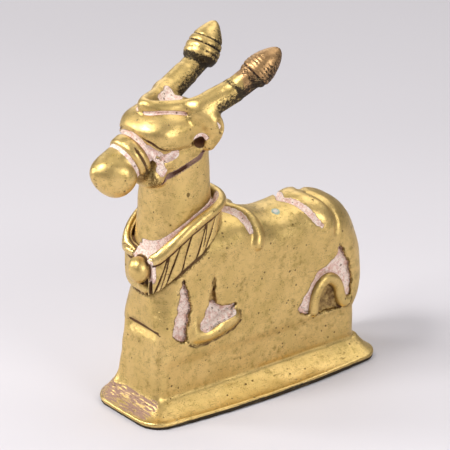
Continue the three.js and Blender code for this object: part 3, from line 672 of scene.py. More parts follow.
    def leaves(self, run, drop, width):
        """Leaves that lean forward: a low pillow between two strokes, each a narrow hollow along its lean.

        The strokes lie at even steps of the way round plus the lean, each moved by a slow wave of its number.
        Some of them have a thinner second stroke, and flutes beside the bell take the leaves' place.
        """
        across = np.abs(run) + self.s.leaf_lean * drop + 0.9
        number = np.round(across / self.s.leaf_pitch)
        shift = 0.28 * np.sin(2.3 * number + 0.6) + 0.22 * np.sin(0.55 * drop + 1.9 * number)
        place = across - number * self.s.leaf_pitch - shift
        share = np.clip(np.abs(place) / (0.5 * self.s.leaf_pitch), 0.0, 1.0)
        pillow = 0.1 - 0.3 * np.sqrt(np.maximum(1.0 - (1.0 - share) ** 2, 0.0))
        thick = 0.1 + 0.04 * np.sin(1.3 * drop + 2.1 * number)
        stroke = self.s.leaf_depth * np.exp(-(place / thick) ** 2)
        fork = place - 0.1 - 1.1 * np.clip(drop / width, 0.0, 1.0) ** 1.2
        thin = 0.6 * self.s.leaf_depth * np.exp(-(fork / 0.1) ** 2) * (np.sin(2.1 * number + 1.0) > 0.25)
        shown = ease(drop, 0.75, 1.25) * fade(np.abs(run), self.half_loop * 0.9, self.half_loop * 0.95)
        flute = FLUTE_DEPTH * np.cos(2 * math.pi * run / FLUTE_STEP) * fade(np.abs(run - 2.6), 1.5, 2.1)
        leaf = pillow + np.maximum(stroke, thin)
        beside_bell = fade(np.abs(run), 3.9, 4.6)
        return (leaf * (1.0 - beside_bell) + flute * beside_bell) * shown

    def head(self, p):
        """Neck, jaw, brow, snout, ears and horns, with the cuts between them."""
        field = self.head_base(p)
        high = p[:, 2] > 41.0
        q = p[high]
        m = mirrored(q)
        part = field[high]
        brow_widths = np.interp(np.arange(30), [0, 8, 29], [0.0, 0.2, 0.26])
        part = cut(part, tube(m, self.brow_edge, brow_widths), 0.25)
        for arm, thick in zip(self.pit_arms, (0.75, 0.8, 0.65)):
            part = cut(part, tube(m, arm, taper(10, thick, 0.3)), 0.35)
        widths = np.interp(np.linspace(0, 1, 26), [0, 0.1, 0.7, 0.85, 1], [0.7, 1, 1.1, 0.8, 0.9])
        part = cut(part, tube(m, self.jaw_groove, self.s.jaw_groove * widths), 0.15)
        part = cut(part, lump(m, NOTCH, NOTCH_HALF), 0.3)
        part = join(part, self.nose_bands(q), 0.15)
        part = join(part, self.muzzle(q), 0.12)
        part = self.ears(m, part)
        for side, horn in ((1.0, LEFT_HORN), (-1.0, RIGHT_HORN)):
            part = self.horn(q, part, side, horn)
        part = self.brow_ridge(m, part)
        field = field.copy()
        field[high] = part
        return field + self.unevenness(p)

    def head_base(self, p):
        """Neck, jaw and skull before anything is cut: the last two end in a slanting face."""
        height, _ = along_axis(p, RING, SNOUT_AXIS)
        top = join(self.skull(p), self.jaw(p), 0.25)
        face = join(overlap(top, height + 2.0, 0.7), lump(p, CHIN, CHIN_HALF, 2.4), 0.6)
        return join(face, self.neck(p), 0.8)

    def jaw(self, q):
        """Bar from the neck to the nose: a squarish section whose sizes run evenly between four stations."""
        x, y, z = q.T
        stations = np.array([RING[1] - 1.0, RING[1] + 2.4, RING[1] + 5.4, NECK_Y + 3.4])
        half = np.interp(y, stations, [RING_RADIUS - 0.2, RING_RADIUS + 0.55, JAW_SIDE, JAW_SIDE])
        middle = np.interp(y, stations, [RING[2] - 0.4, RING[2] - 0.6, RING[2] + 0.5, NECK_TOP + 3.4])
        deep = np.interp(y, stations, [RING_RADIUS - 0.5, RING_RADIUS - 0.2, RING_RADIUS, 3.2])
        share = (np.abs(x / half) ** 2.8 + np.abs((z - middle) / deep) ** 2.8) ** (1 / 2.8)
        wall = (share - 1.0) * np.minimum(half, deep)
        return overlap(wall, np.maximum(stations[0] - y, y - stations[3]), 1.0)

    def skull(self, q):
        """Wide dome whose brow hangs over the jaw: a plan's power mean, then that mean with the height.

        Below the widest place the height's share grows faster and its power is higher, for a full edge.
        """
        x, y, z = (q - SKULL).T
        plan = (np.abs(x / SKULL_HALF[0]) ** 2.4 + np.abs(y / SKULL_HALF[1]) ** 2.4) ** (1 / 2.4)
        deep = np.where(z > 0.0, SKULL_HALF[2], BROW_DEPTH)
        power = np.where(z > 0.0, 2.2, 3.4)
        share = (plan**power + np.abs(z / deep) ** power) ** (1 / power)
        return (share - 1.0) * 3.6

    def nose_bands(self, q):
        """Drum round the snout with a thin groove round its middle, deeper below and on the sides."""
        height, out = along_axis(q, RING, SNOUT_AXIS)
        drum = overlap(out - RING_RADIUS, np.abs(height + 0.05) - 1.4, 1.1)
        groove = np.hypot(height + 0.35 - 0.08 * q[:, 0], out - RING_RADIUS) - 0.24
        groove = groove + 0.5 * ease(q[:, 2], 53.6, 55.4)
        core = overlap(out - RING_RADIUS + 0.75, np.abs(height) - 4.5, 0.5)
        return join(cut(drum, groove, 0.12), core, 0.15)

    def muzzle(self, q):
        """Egg about an axis that rises a little: its radius falls from its widest place to both ends."""
        axis = np.array([0.0, -1.0, MUZZLE_RISE])
        axis = axis / np.linalg.norm(axis)
        centre = RING + SNOUT_AXIS * MUZZLE_AHEAD - np.array([0.0, 0.0, MUZZLE_DROP])
        height, out = along_axis(q, centre, axis)
        reach = np.where(height > 0, MUZZLE_LENGTH * 0.6, MUZZLE_LENGTH * 0.42)
        power = np.where(height > 0, 1.6, 2.3)
        share = (np.abs(height / reach) ** power + (out / MUZZLE_RADIUS) ** power) ** (1 / power)
        return (share - 1.0) * 3.7

    def ears(self, m, part):
        """Drooping leaf: a chain of round pieces, with a small hollow on its outer face."""
        share = np.linspace(0, 1, 20)
        girth = self.s.ear_girth * np.interp(share, [0, 0.3, 0.6, 1], [0.85, 1.0, 0.95, 0.55])
        part = join(part, tube(m, self.ear, girth), 1.8)
        hollow = self.ear[8:14] + np.array([1.5, 0.3, 0.3])
        return cut(part, tube(m, hollow, 0.55), 0.35)

    @staticmethod
    def horn_lines(side, horn):
        """Path of a horn's stalk, and the direction of its bud."""
        end = SKULL + RIDGE_END * (side, 1.0, 1.0)
        path = curve([end + np.array(place) * (side, 1.0, 1.0) for place in horn["path"]], 18)
        tip = end + np.array(horn["tip"]) * (side, 1.0, 1.0)
        return path, (tip - path[-1]) / np.linalg.norm(tip - path[-1])

    def horn(self, q, part, side, horn):
        """Bent stalk with a bud: the bud's radius is a sine over its height, less its rings."""
        path, axis = self.horn_lines(side, horn)
        share = np.linspace(0, 1, 18)
        girth = np.interp(share, [0, 0.3, 0.6, 0.64, 0.7, 1], [0.98, 1.03, 1.0, 1.02, 0.94, 0.97])
        part = join(part, tube(q, path, self.s.horn_radius * girth), 0.9)
        height, out = along_axis(q, path[-1], axis)
        along = np.linspace(0.0, 1.0, 120)
        wave = np.maximum(np.sin(math.pi * (0.16 + 0.84 * along) ** 0.62), 0.0)
        profile = horn["girth"] * wave ** horn["power"]
        for place, depth in horn["rings"]:
            profile = profile - depth * np.exp(-((along - place) / 0.022) ** 2)
        radius = np.interp(height / horn["length"], along, profile)
        bud = overlap((out - radius) * 0.85, np.maximum(-0.5 - height, height - horn["length"]), 0.6)
        return join(part, bud, 0.2)

    def brow_ridge(self, m, part):
        """V across the brow: a round bar from each horn's root to the point in front, a groove below it."""
        part = cut(part, lump(m, BASIN, BASIN_HALF), 0.6)
        filled = self.ridge - np.array([0.3, -0.3, 0.9])
        part = join(part, tube(m, filled, self.s.ridge_radius * 0.95), 0.5)
        part = join(part, tube(m, self.ridge, self.s.ridge_radius), 1.0)
        return cut(part, tube(m, self.ridge_line, 0.26), 0.2)


# Mesh from a field.

def in_batches(field, p, size=150000):
    """Field values of many points, worked out a batch at a time."""
    return np.concatenate([field(p[start:start + size]) for start in range(0, len(p), size)])


def grid_lines(spans):
    """Places of the grid along one axis: even steps within each span of start, end and step."""
    lines = [np.arange(start, end - step / 2, step) for start, end, step in spans]
    return np.concatenate(lines + [[spans[-1][1]]])


def sample_field(field, axes, block=4):
    """Field on a grid: worked out in the blocks that the surface may pass through, its sign elsewhere."""
    lows = [a[::block] for a in axes]
    highs = [a[np.minimum(np.arange(0, len(a), block) + block, len(a) - 1)] for a in axes]
    low = np.stack(np.meshgrid(*lows, indexing="ij"), -1)
    high = np.stack(np.meshgrid(*highs, indexing="ij"), -1)
    middle = in_batches(field, ((low + high) / 2).reshape(-1, 3)).reshape(low.shape[:3])
    active = np.abs(middle) < 0.75 * np.linalg.norm(high - low, axis=-1) + 0.1
    values = np.where(middle < 0, -9.0, 9.0)
    for i in range(3):
        values = np.repeat(values, block, axis=i)
        active = np.repeat(active, block, axis=i)
    shape = tuple(slice(0, len(a)) for a in axes)
    values, active = values[shape].copy(), active[shape]
    places = np.stack([a[i] for a, i in zip(axes, np.nonzero(active))], axis=1)
    values[active] = in_batches(field, places)
    return values


def net_of(values, axes):
    """Closed mesh of quads round the inside of a sampled field.

    Each cell that the surface passes through gets one point, the mean of the places where the surface
    crosses the cell's edges, and each crossed edge gets one face, between the points of the four cells
    about it.
    """
    inside = values < 0
    cells = np.array(values.shape) - 1
    stride = np.array([cells[1] * cells[2], cells[2], 1])
    faces, owners, places = [], [], []
    for axis in range(3):
        u, v = (axis + 1) % 3, (axis + 2) % 3
        before = [slice(None)] * 3
        after = [slice(None)] * 3
        before[axis], after[axis] = slice(0, -1), slice(1, None)
        before, after = tuple(before), tuple(after)
        start = np.argwhere(inside[before] != inside[after])
        end = start.copy()
        end[:, axis] += 1
        low, high = values[tuple(start.T)], values[tuple(end.T)]
        place = np.stack([a[i] for a, i in zip(axes, start.T)], axis=1)
        place[:, axis] += low / (low - high) * (axes[axis][end[:, axis]] - place[:, axis])
        corners = []
        for du, dv in ((-1, -1), (0, -1), (0, 0), (-1, 0)):
            cell = start.copy()
            cell[:, u] += du
            cell[:, v] += dv
            corners.append(cell @ stride)
        corners = np.stack(corners, axis=1)
        corners[low > 0] = corners[low > 0][:, ::-1]
        faces.append(corners)
        owners.append(corners.ravel())
        places.append(np.repeat(place, 4, axis=0))
    faces, owners, places = np.concatenate(faces), np.concatenate(owners), np.concatenate(places)
    used, index = np.unique(owners, return_inverse=True)
    index = index.reshape(-1)
    count = np.bincount(index)
    points = np.stack([np.bincount(index, places[:, i]) / count for i in range(3)], axis=1)
    return points, np.searchsorted(used, faces)


def settle(field, points, faces, rounds):
    """Even out a net on the surface: half way to the mean of the neighbours, then down the slope."""
    a, b = faces, np.roll(faces, -1, axis=1)
    ends = np.concatenate([a.ravel(), b.ravel()])
    others = np.concatenate([b.ravel(), a.ravel()])
    count = np.bincount(ends)
    for _ in range(rounds):
        mean = np.stack([np.bincount(ends, points[others, i]) / count for i in range(3)], axis=1)
        points = points + 0.5 * (mean - points)
        value = in_batches(field, points)
        slope = slope_of(field, points, value)
        step = value / np.maximum((slope * slope).sum(axis=1), 0.25)
        points = points - np.clip(step, -0.25, 0.25)[:, None] * slope
    slope = slope_of(field, points, in_batches(field, points))
    steepness = np.maximum(np.linalg.norm(slope, axis=1), 0.2)
    return points, slope / steepness[:, None], steepness


# Where the finish differs, and where shade, shadow and a highlight are painted.

def near_path(p, path, start, end):
    """Share of 1 within a start distance of a path, falling to 0 at an end distance."""
    return fade(tube(p, np.asarray(path, float), 0.0), start, end)


def near_flank_line(p, name, start, end):
    """Share of 1 close to a named line on the flank, read in Y and Z alone."""
    return near_path(p * (0, 1, 1), [(0, y, z) for y, z in FLANK_LINES[name]], start, end)


def near_bell(p):
    """Share of 1 on the bell, falling to 0 just outside it."""
    half = np.array([0.0, 0.0, 0.6])
    return near_path(p, [BELL - half, BELL + half], 2.3, 2.6)


def below_collar(casting, p, start, end):
    """Share of 1 just below the collar's lower edge, falling to 0 between two distances from it."""
    _, y, z = p.T
    roll, share = casting.roll_height(y)
    return fade(np.abs(z - roll + casting.band_width(share) + 0.45), start, end)


def hollow_share(casting, points, normals, steepness, reaches):
    """How far the metal closes in, from 0 on a flat or round face: the open space missing over each reach."""
    total = np.zeros(len(points))
    for reach, weight in reaches:
        open_space = in_batches(casting, points + reach * normals) / steepness
        total += weight * np.clip(1.0 - open_space / reach, 0.0, 1.0)
    return total


def residue_on(casting, p, m, normals):
    """Where pale residue fills the hollows: the most of several places, each near a path or in an outline; on
    the foreleg's bar only its upward faces take it, a painted highlight as well as residue.
    """
    x, y, z = p.T
    side = m[:, 0]
    sunk = ease(flank_half(y) - side, 0.3, 0.75) * (z > 9.0) * (z < 31.0)
    sunk = sunk * (1.0 - ease(z, 19.8, 21.5) * (y > -14.0) * (y < 0.0))
    inside = np.maximum.reduce([fade(edge, -0.1, 0.5) for edge in casting.pocket_edges(y, z)])
    curl = near_flank_line(m, "curl_inside", 1.8, 2.5)
    # Pale on the foreleg bar's upward faces only: residue, with a painted highlight where light falls from
    # above.
    slope = near_flank_line(m, "foreleg_top", 0.8, 1.5) * ease(normals[:, 2], 0.2, 0.5)
    hump_hollow, _, rump_hollow, _, rump_groove = casting.over
    height, out = along_axis(p, RING, SNOUT_AXIS)
    snout = (z > 44.0) * (out < 5.3)
    roof = lump(m, NOTCH + (0.0, -0.5, 0.9), np.array([2.4, 1.6, 1.0]))
    off_ridge = 1.0 - near_path(m, casting.ridge, 1.1, 1.4)
    roll, _ = casting.roll_height(y)
    valley = fade(casting.loop(x, y), -0.5, -0.1) * ease(z - roll, -1.6, -0.6) * fade(z - roll, 0.9, 1.3)
    valley = valley * ease(x - 0.2 * (y + 23.0), -1.5, 0.5)
    front = fade(np.abs(x - 1.9), 2.6, 3.2) * fade(y, -21.0, -20.2) * (1.0 - near_bell(p))
    front = front * ease(z, 26.0, 28.5) * fade(z - roll, -0.2, 0.8)
    by_collar = (z > 25.0) * (z < 43.0) * (y < -4.0)
    return np.maximum.reduce([
        sunk * inside * (1.0 - 0.8 * curl),
        slope * (side > 5.5) * (z < 20.0),
        fade(tube(m, hump_hollow, casting.HUMP_HOLLOW_RADII), 0.05, 0.25),
        fade(tube(m, rump_hollow, casting.RUMP_HOLLOW_RADII), 0.05, 0.22),
        0.45 * near_path(m, rump_groove[4:12], 0.3, 0.7),
        snout * fade(np.abs(height + 1.8), 0.3, 0.5) * (z > 51.0),
        snout * fade(np.abs(height - 1.7), 0.25, 0.5) * (out < 4.1),
        *(near_path(m, arm, 0.75, 1.0) for arm in casting.pit_arms),
        0.8 * fade(roof, -0.2, 0.2),
        near_path(m, casting.ridge_line, 0.25, 0.48),
        near_path(p, RIDGE_INSIDE, 0.8, 1.5) * off_ridge,
        near_path(m, EAR_RIM, 0.35, 0.7),
        0.8 * near_path(m, EAR_TOP, 0.4, 0.8),
        by_collar * valley,
        by_collar * front,
    ])


def stain_and_shade_on(casting, p, m):
    """Where dark red-brown is painted: red-brown stains in the grooves of the head and the curled leg's
    inside, and painted shade in the creases, along low edges, under the foreleg's bar and under the collar.
    """
    x, y, z = p.T
    depth = flank_half(y) - m[:, 0]
    notch = lump(m, NOTCH - (0.6, -0.3, 0.45), np.full(3, 1.1))
    # Painted shade: dark red-brown along the foreleg's rear edge and below the crook.
    crook = near_flank_line(m, "crook_front", 0.3, 0.9)
    crook = np.maximum(crook, 0.9 * near_flank_line(m, "crook_below", 0.2, 0.6))
    # Painted shadow: dark lines under the foreleg's knee and bar.
    under = near_flank_line(m, "under_knee", 0.1, 0.5)
    under = np.maximum(under, near_flank_line(m, "under_foreleg", 0.1, 0.4))
    loop = casting.loop(x, y)
    roll, share = casting.roll_height(y)
    # Painted shade: a dark line on the band just under the collar's roll.
    below_roll = (roll - z) * casting.roll_steepness(share) - casting.roll_radii(x, y) - 0.3
    under_roll = fade(np.abs(below_roll), 0.1, 0.36) * (loop > -0.3) * (loop < 1.6)
    # Painted shadow: a dark band just below the collar's lower edge.
    below_band = below_collar(casting, p, 0.3, 0.8) * (loop > -3.5) * (loop < 2.4)
    # Painted shade: a dark band along the crease across the chest.
    crease = fade(np.abs(z - KNEE_STEP_HEIGHT - 0.2), 0.4, 0.65) * ease(y, -22.8, -22.6)
    return np.maximum.reduce([
        0.95 * near_path(m, casting.jaw_groove, 0.3, 0.5),
        fade(notch, -0.2, 0.3),
        0.7 * near_path(m, casting.brow_edge[5:], 0.2, 0.4),
        0.5 * ease(depth, 0.35, 0.8) * near_flank_line(m, "curl_inside", 1.8, 2.6),
        # Painted shade on the hind pocket's steep upper wall.
        0.5 * ease(depth, 0.1, 0.5) * near_flank_line(m, "hind_wall", 0.35, 0.95),
        0.5 * ease(depth, 0.0, 0.4) * crook,
        0.6 * under * (m[:, 0] > 6.0),
        0.85 * under_roll * (1.0 - near_bell(p)),
        0.66 * below_band * fade(z, 31.5, 33.5),
        crease * (y < -21.3) * (x > -3.6) * (x < 5.3),
    ])


def soot_and_shadow_on(casting, p, normals):
    """Where black is painted: a sooty deposit with painted shade on the horns' lower and rear sides, the
    deposit in their rings, and painted shadow along the foot's dark edge.
    """
    _, y, z = p.T
    # The horns' lower and rear sides: sooty deposit, and painted shade on the side away from the light.
    sooty_shaded_side = ease(normals @ np.array([0.45, 0.6, -0.65]), -0.5, 0.55)
    band = fade(np.abs((y + 6.0) * 0.8 + (z - 61.6) * 0.6), 0.3, 0.7)
    # Painted shadow: black over the lowest part of the foot's rim, where the foot's underside is in shade.
    total = 1.8 * fade(z, foot_lift(y) - 0.06, foot_lift(y) + 0.08)
    horns = 0.1 * sooty_shaded_side
    for side, horn in ((1.0, LEFT_HORN), (-1.0, RIGHT_HORN)):
        path, axis = casting.horn_lines(side, horn)
        height, out = along_axis(p, path[-1], axis)
        share = height / horn["length"]
        bud = (share > -0.02) * (out < 4.0)
        stalk = near_path(p, path[3:], 2.75, 3.1) * (1.0 - bud)
        stalk = stalk * ease(y, -12.6, -10.6) * ease(height, -14.0, -8.0)
        horns = horns + stalk * (0.2 + 0.62 * sooty_shaded_side) + bud * (horn["bud_soot"] + 0.5 * sooty_shaded_side)
        for place, depth in horn["rings"]:
            horns = horns + 3.0 * depth * bud * fade(np.abs(share - place), 0.01, 0.03)
        if side > 0.0:
            horns = horns + 0.55 * band * stalk
        horns = horns + horn["base_soot"] * (out < 4.0) * fade(np.abs(share + 0.04), 0.05, 0.14)
    return np.maximum(total, horns)


def grime_and_shadow_on(casting, p, m):
    """Where rough brown is painted: dirty rims round the relief, cracks, two spots, and marks under jaw and
    brow, and painted shadow under the collar.
    """
    _, y, z = p.T
    on_flank = m[:, 0] > 5.2
    along_foreleg = (y < 0.0) & ((z < 15.2) | (y > -5.2))
    edges = [np.where(edge > -0.1, edge, 9.0) for edge in casting.pocket_edges(y, z)]
    edges.append(np.where(along_foreleg, np.abs(casting.foreleg(y, z)), 9.0))
    rims = fade(np.minimum.reduce(edges), 0.1, 0.8) * on_flank * (z > 9.0) * (z < 29.0)
    rims = rims * (1.0 - (z > 20.5) * (y > -14.0) * (y < 0.0))
    cracks = np.maximum.reduce([near_flank_line(m, *crack) for crack in CRACKS])
    up = np.array([0.0, 0.0, 0.1])
    return np.maximum.reduce([
        rims,
        0.85 * cracks * on_flank,
        *(share * near_path(p, [place, place + up], 0.3 * reach, reach) for place, reach, share in SPOTS),
        near_path(m, UNDER_JAW, 0.9, 2.0),
        0.75 * near_path(m, UNDER_BROW, 0.6, 1.6),
        # Painted shadow: ragged brown just below the collar's lower edge.
        (z < 36.0) * (y < -8.0) * below_collar(casting, p, 0.6, 1.6),
    ])


def wear_and_shade_masks(casting, points, normals, steepness):
    """Where the finish differs or shade is painted, one value to a point: a share from 0 to 1, or more where
    it is heavy.
    """
    x, y, z = points.T
    m = mirrored(points)
    behind = in_batches(casting, points - 0.8 * normals) / steepness
    front_foot = ease(-y, 22.9, 23.6) * fade(z, 3.9, 4.5) * ease(z, 1.1, 1.4)
    from_spot = np.linalg.norm((points - GREEN_SPOT) * (1.0, 0.95, 0.5), axis=1)
    beside_groove = near_path(m, casting.jaw_groove, 0.5, 0.7)
    return {
        # How far the metal closes in: the finish paints shade from these two.
        "hollow": hollow_share(casting, points, normals, steepness, ((0.9, 0.6), (2.2, 0.5))),
        "line": hollow_share(casting, points, normals, steepness, ((0.35, 1.0),)),
        "polish": 1.0 + behind / 0.8,
        "residue": residue_on(casting, points, m, normals),
        "stain": stain_and_shade_on(casting, points, m),
        "soot": soot_and_shadow_on(casting, points, normals),
        "bronze": (x > 0.0) * (z > 59.0) * ease(y, -6.4, -5.8),
        "grime_and_shadow": grime_and_shadow_on(casting, points, m),
        "green": fade(from_spot, 0.35, 1.25),
        "mauve": np.maximum(front_foot * fade(np.abs(x + 2.0), 8.0, 10.0), 1.3 * beside_groove),
    }


def mesh_object(name, points, faces, masks):
    """Object whose mesh lies in metres about the frame's origin, smooth, with one named value to a point."""
    mesh = bpy.data.meshes.new(name)
    mesh.from_pydata(points * METRE, [], faces)
    mesh.polygons.foreach_set("use_smooth", np.ones(len(faces), bool))
    for title, values in masks.items():
        layer = mesh.attributes.new(title, "FLOAT", "POINT")
        layer.data.foreach_set("value", np.clip(values, 0.0, 1.5).astype(np.float32))
    mesh.update()
    made = bpy.data.objects.new(name, mesh)
    bpy.context.scene.collection.objects.link(made)
    return made


# Shader arithmetic.

def both_ways(operation):
    """An operator on shader outputs and its reflected form: each use adds one Math or Vector Math node."""

    def forward(self, other):
        return self.paint.math(operation, self, other)

    def reflected(self, other):
        return self.paint.math(operation, other, self)

    return forward, reflected


class Value:
    """Output of a shader node, with arithmetic."""

    def __init__(self, paint, socket):
        self.paint = paint
        self.socket = socket

    __add__, __radd__ = both_ways("ADD")
    __sub__, __rsub__ = both_ways("SUBTRACT")
    __mul__, __rmul__ = both_ways("MULTIPLY")
    __truediv__ = both_ways("DIVIDE")[0]
    least = both_ways("MINIMUM")[0]
    most = both_ways("MAXIMUM")[0]

    def is_vector(self):
        return self.socket.type in {"VECTOR", "RGBA"}

    def between(self, start, end):
        """Share from 0 at start to 1 at end, smooth at both."""
        inputs = {"Value": self, "From Min": start, "From Max": end}
        return self.paint.node("ShaderNodeMapRange", {"interpolation_type": "SMOOTHSTEP"}, inputs)


class Paint:
    """Node tree of one material: every node is made by the method node, and comes back as its output."""

    def __init__(self, name):
        self.material = bpy.data.materials.new(name)
        self.material.use_nodes = True
        self.tree = self.material.node_tree
        self.tree.nodes.clear()

    def node(self, kind, settings=None, inputs=None, output=0):
        """New node: its settings first, then values or links for its inputs."""
        made = self.tree.nodes.new(kind)
        for key, value in (settings or {}).items():
            setattr(made, key, value)
        for key, value in (inputs or {}).items():
            if isinstance(value, Value):
                self.tree.links.new(value.socket, made.inputs[key])
            else:
                made.inputs[key].default_value = value
        return Value(self, made.outputs[output]) if len(made.outputs) else made

    def math(self, operation, a, b):
        """Math node for two numbers, or Vector Math node where either is a vector."""
        vectors = [v for v in (a, b) if isinstance(v, tuple) or isinstance(v, Value) and v.is_vector()]
        if not vectors:
            return self.node("ShaderNodeMath", {"operation": operation}, {0: a, 1: b})
        a, b = ((v, v, v) if isinstance(v, (int, float)) else v for v in (a, b))
        return self.node("ShaderNodeVectorMath", {"operation": operation}, {0: a, 1: b})

    def mix(self, share, a, b):
        """Colour that goes from a to b as the share goes from 0 to 1."""
        a, b = (v if isinstance(v, Value) else (*v, 1.0) for v in (a, b))
        settings = {"data_type": "RGBA", "clamp_factor": True}
        return self.node("ShaderNodeMix", settings, {0: share, 6: a, 7: b}, output=2)

    def attribute(self, title):
        """Value that the mesh has at each point under a title."""
        return self.node("ShaderNodeAttribute", {"attribute_name": title}, output=2)

    def noise(self, place, scale, detail=3.0, roughness=0.55, distortion=0.0):
        """Soft noise from 0 to 1, with so many swells to a millimetre as the scale says."""
        inputs = {"Vector": place, "Scale": scale, "Detail": detail, "Roughness": roughness}
        return self.node("ShaderNodeTexNoise", None, {**inputs, "Distortion": distortion})

    def cells(self, place, scale):
        """Distance to the nearest of scattered points."""
        return self.node("ShaderNodeTexVoronoi", None, {"Vector": place, "Scale": scale})


def worn_brass(colours):
    """Cast brass: golden and olive patches, pits and scratches, pale residue and dark stains in hollows, with
    painted shade in hollows and creases, painted shadow under the collar and at the foot's rim, and a painted
    highlight on the foreleg bar's top.
    """
    paint = Paint("worn_brass")
    place = paint.node("ShaderNodeTexCoord", output=3) * 1000.0
    names = ("hollow", "line", "polish", "residue", "stain", "soot", "bronze", "green", "mauve", "grime_and_shadow")
    hollow, line, polish, residue, stain, soot, bronze, green, mauve, grime_and_shadow = map(paint.attribute, names)

    patches = paint.noise(place, 0.16, 3.0)
    mottle = paint.noise(place + (31.0, 7.0, 5.0), 0.8, 4.0, 0.65)
    grain = paint.noise(place + (3.0, 17.0, 11.0), 4.5, 3.0, 0.6)
    crumbs = paint.noise(place + (14.0, 6.0, 2.0), 2.4, 4.0, 0.7)
    clouds = paint.noise(place + (6.0, 21.0, 33.0), 0.35, 3.0, 0.6)
    blotch = paint.noise(place + (6.0, 3.0, 1.0), 2.3, 5.0, 0.8)
    streaks = paint.noise(place * (0.35, 2.2, 2.2) + (2.0, 4.0, 9.0), 1.0, 3.0, 0.65, 0.4)

    spot_size = paint.noise(place + (1.0, 40.0, 2.0), 0.6, 2.0) * 0.33
    pits = 1.0 - (paint.cells(place + (9.0, 1.0, 4.0), 0.7) / spot_size.most(0.01)).between(0.5, 1.0)
    pits = pits * paint.noise(place + (12.0, 3.0, 25.0), 0.22, 2.0).between(0.44, 0.56)
    fine = 1.0 - paint.cells(place + (2.0, 8.0, 14.0), 3.2).between(0.1, 0.32)
    fine = fine * paint.noise(place + (4.0, 13.0, 5.0), 0.6, 3.0, 0.7).between(0.42, 0.6)
    specks = grain.between(0.56, 0.68) * mottle.between(0.4, 0.62)
    rubbed = paint.noise(place * (0.5, 0.5, 4.5) + (7.0, 1.0, 19.0), 1.0, 3.0, 0.7, 0.5)
    rubbed = rubbed.between(0.58, 0.7) * clouds.between(0.42, 0.6)

    strokes = paint.noise(place * (0.35, 0.35, 6.0) + (5.0, 2.0, 9.0), 1.0, 2.0, 0.7).between(0.6, 0.7)
    cross = paint.noise(place * (5.0, 5.0, 0.4) + (1.0, 12.0, 3.0), 1.0, 2.0, 0.7).between(0.64, 0.74)
    scratches = (strokes + cross) * paint.noise(place + (8.0, 8.0, 8.0), 0.3, 2.0).between(0.42, 0.6)

    # Darker in the hollows, by how far the metal closes in over them: painted shade, in a dirty brown.
    dirt = (hollow.between(0.2, 0.8) * (0.35 + mottle)).least(1.0)
    # Dark lines where the metal closes in within a third of a millimetre: painted shade in the creases.
    edge = (line * 1.5 + (crumbs - 0.5) * 0.6).between(0.3, 0.75)
    chalk = (residue * 1.4 + (crumbs - 0.5) * 0.7 + (mottle - 0.5) * 0.5).between(0.4, 0.85)
    chalk_share = (mottle * 0.5 + crumbs * 0.5).between(0.38, 0.57)
    chalk_colour = paint.mix(chalk_share, colours.residue_dark, colours.residue)
    border = chalk * (1.0 - chalk) * 4.0
    # Red-brown: real stains in the head's grooves and the curled leg, and painted shade in creases and under
    # the legs and the collar.
    rust_and_shade = (stain * 1.5 + (mottle - 0.5) * 0.8).between(0.45, 0.95)
    # Black: sooty deposit on the horns, with painted shade on their lower sides, and painted shadow along the
    # foot's rim.
    black = (soot * 1.2 + (blotch - 0.5) * 3.2).between(0.5, 1.1)
    verdigris = (green * 1.2 + (crumbs - 0.5) * 0.9).between(0.4, 0.75)
    pale_centre = (green * 1.3 + (mottle - 0.5) * 1.2).between(1.05, 1.3)
    purple = (mauve * 1.2 + (streaks - 0.5) * 3.2).between(0.75, 1.3)
    # Ragged brown: dirty rims, cracks and spots, and painted shadow below the collar.
    ragged = (grime_and_shadow + (crumbs - 0.5) * 1.8 + (grain - 0.5) * 0.8).between(0.75, 1.1)
    ragged = ragged * grime_and_shadow.between(0.0, 0.3)
    marks = (pits * 0.85 + fine * 0.75 + specks * 0.5 + rubbed * 0.45 + ragged * 0.8).least(0.9)

    colour = paint.mix(patches.between(0.36, 0.66), colours.golden, colours.brass)
    for share, layer in (
        (mottle.between(0.42, 0.72) * clouds.between(0.3, 0.7) * 0.9, colours.olive),
        (bronze * 0.85, colours.bronze),
        (polish.between(0.4, 0.85) * 0.4, colours.bright),
        # Painted shade in the hollows.
        (dirt * 0.6, colours.dirt),
        (purple * 0.8, colours.mauve),
        (chalk, chalk_colour),
        (border * 0.6, colours.stain),
        # Painted shade in the creases, in red-brown.
        (edge * (1.0 - 0.9 * chalk) * 0.85, colours.stain),
        # Stains and painted shade, in red-brown.
        (rust_and_shade * 0.92, colours.stain),
        # Painted shadow at the foot's rim and painted shade on the horns, over their sooty deposit, in black.
        (black * 0.96, colours.soot),
        (verdigris * 0.85, colours.verdigris),
        (pale_centre * 0.8, colours.residue),
        (marks, colours.dirt),
        ((scratches * 0.35).least(0.5), colours.bright),
    ):
        colour = paint.mix(share, colour, layer)

    cover = (chalk * 0.85).most(rust_and_shade * 0.7).most(black * 0.6).most(verdigris * 0.9).most(pits * 0.8)
    cover = cover.most(edge * 0.6).most(purple * 0.7)
    roughness = 0.31 + (patches - 0.5) * 0.12 + mottle * 0.1 + grain * 0.08 + dirt * 0.2
    roughness = roughness + cover.most(chalk * 0.7) * 0.4 - polish.between(0.1, 0.7) * 0.12
    height = grain * 0.35 + mottle * 0.7 + clouds * 1.6 - pits * 1.2 - fine * 0.7 - scratches * 0.35
    height = height - rubbed * 0.3 + crumbs * chalk * 0.8
    bump = paint.node("ShaderNodeBump", None, {"Strength": 0.55, "Distance": 0.0001, "Height": height})
    inputs = {"Base Color": colour, "Metallic": 1.0 - cover, "Roughness": roughness.least(0.92).most(0.15)}
    inputs = {**inputs, "Normal": bump, "Specular IOR Level": 0.25}
    shader = paint.node("ShaderNodeBsdfPrincipled", None, inputs)
    paint.node("ShaderNodeOutputMaterial", None, {"Surface": shader})
    return paint.material


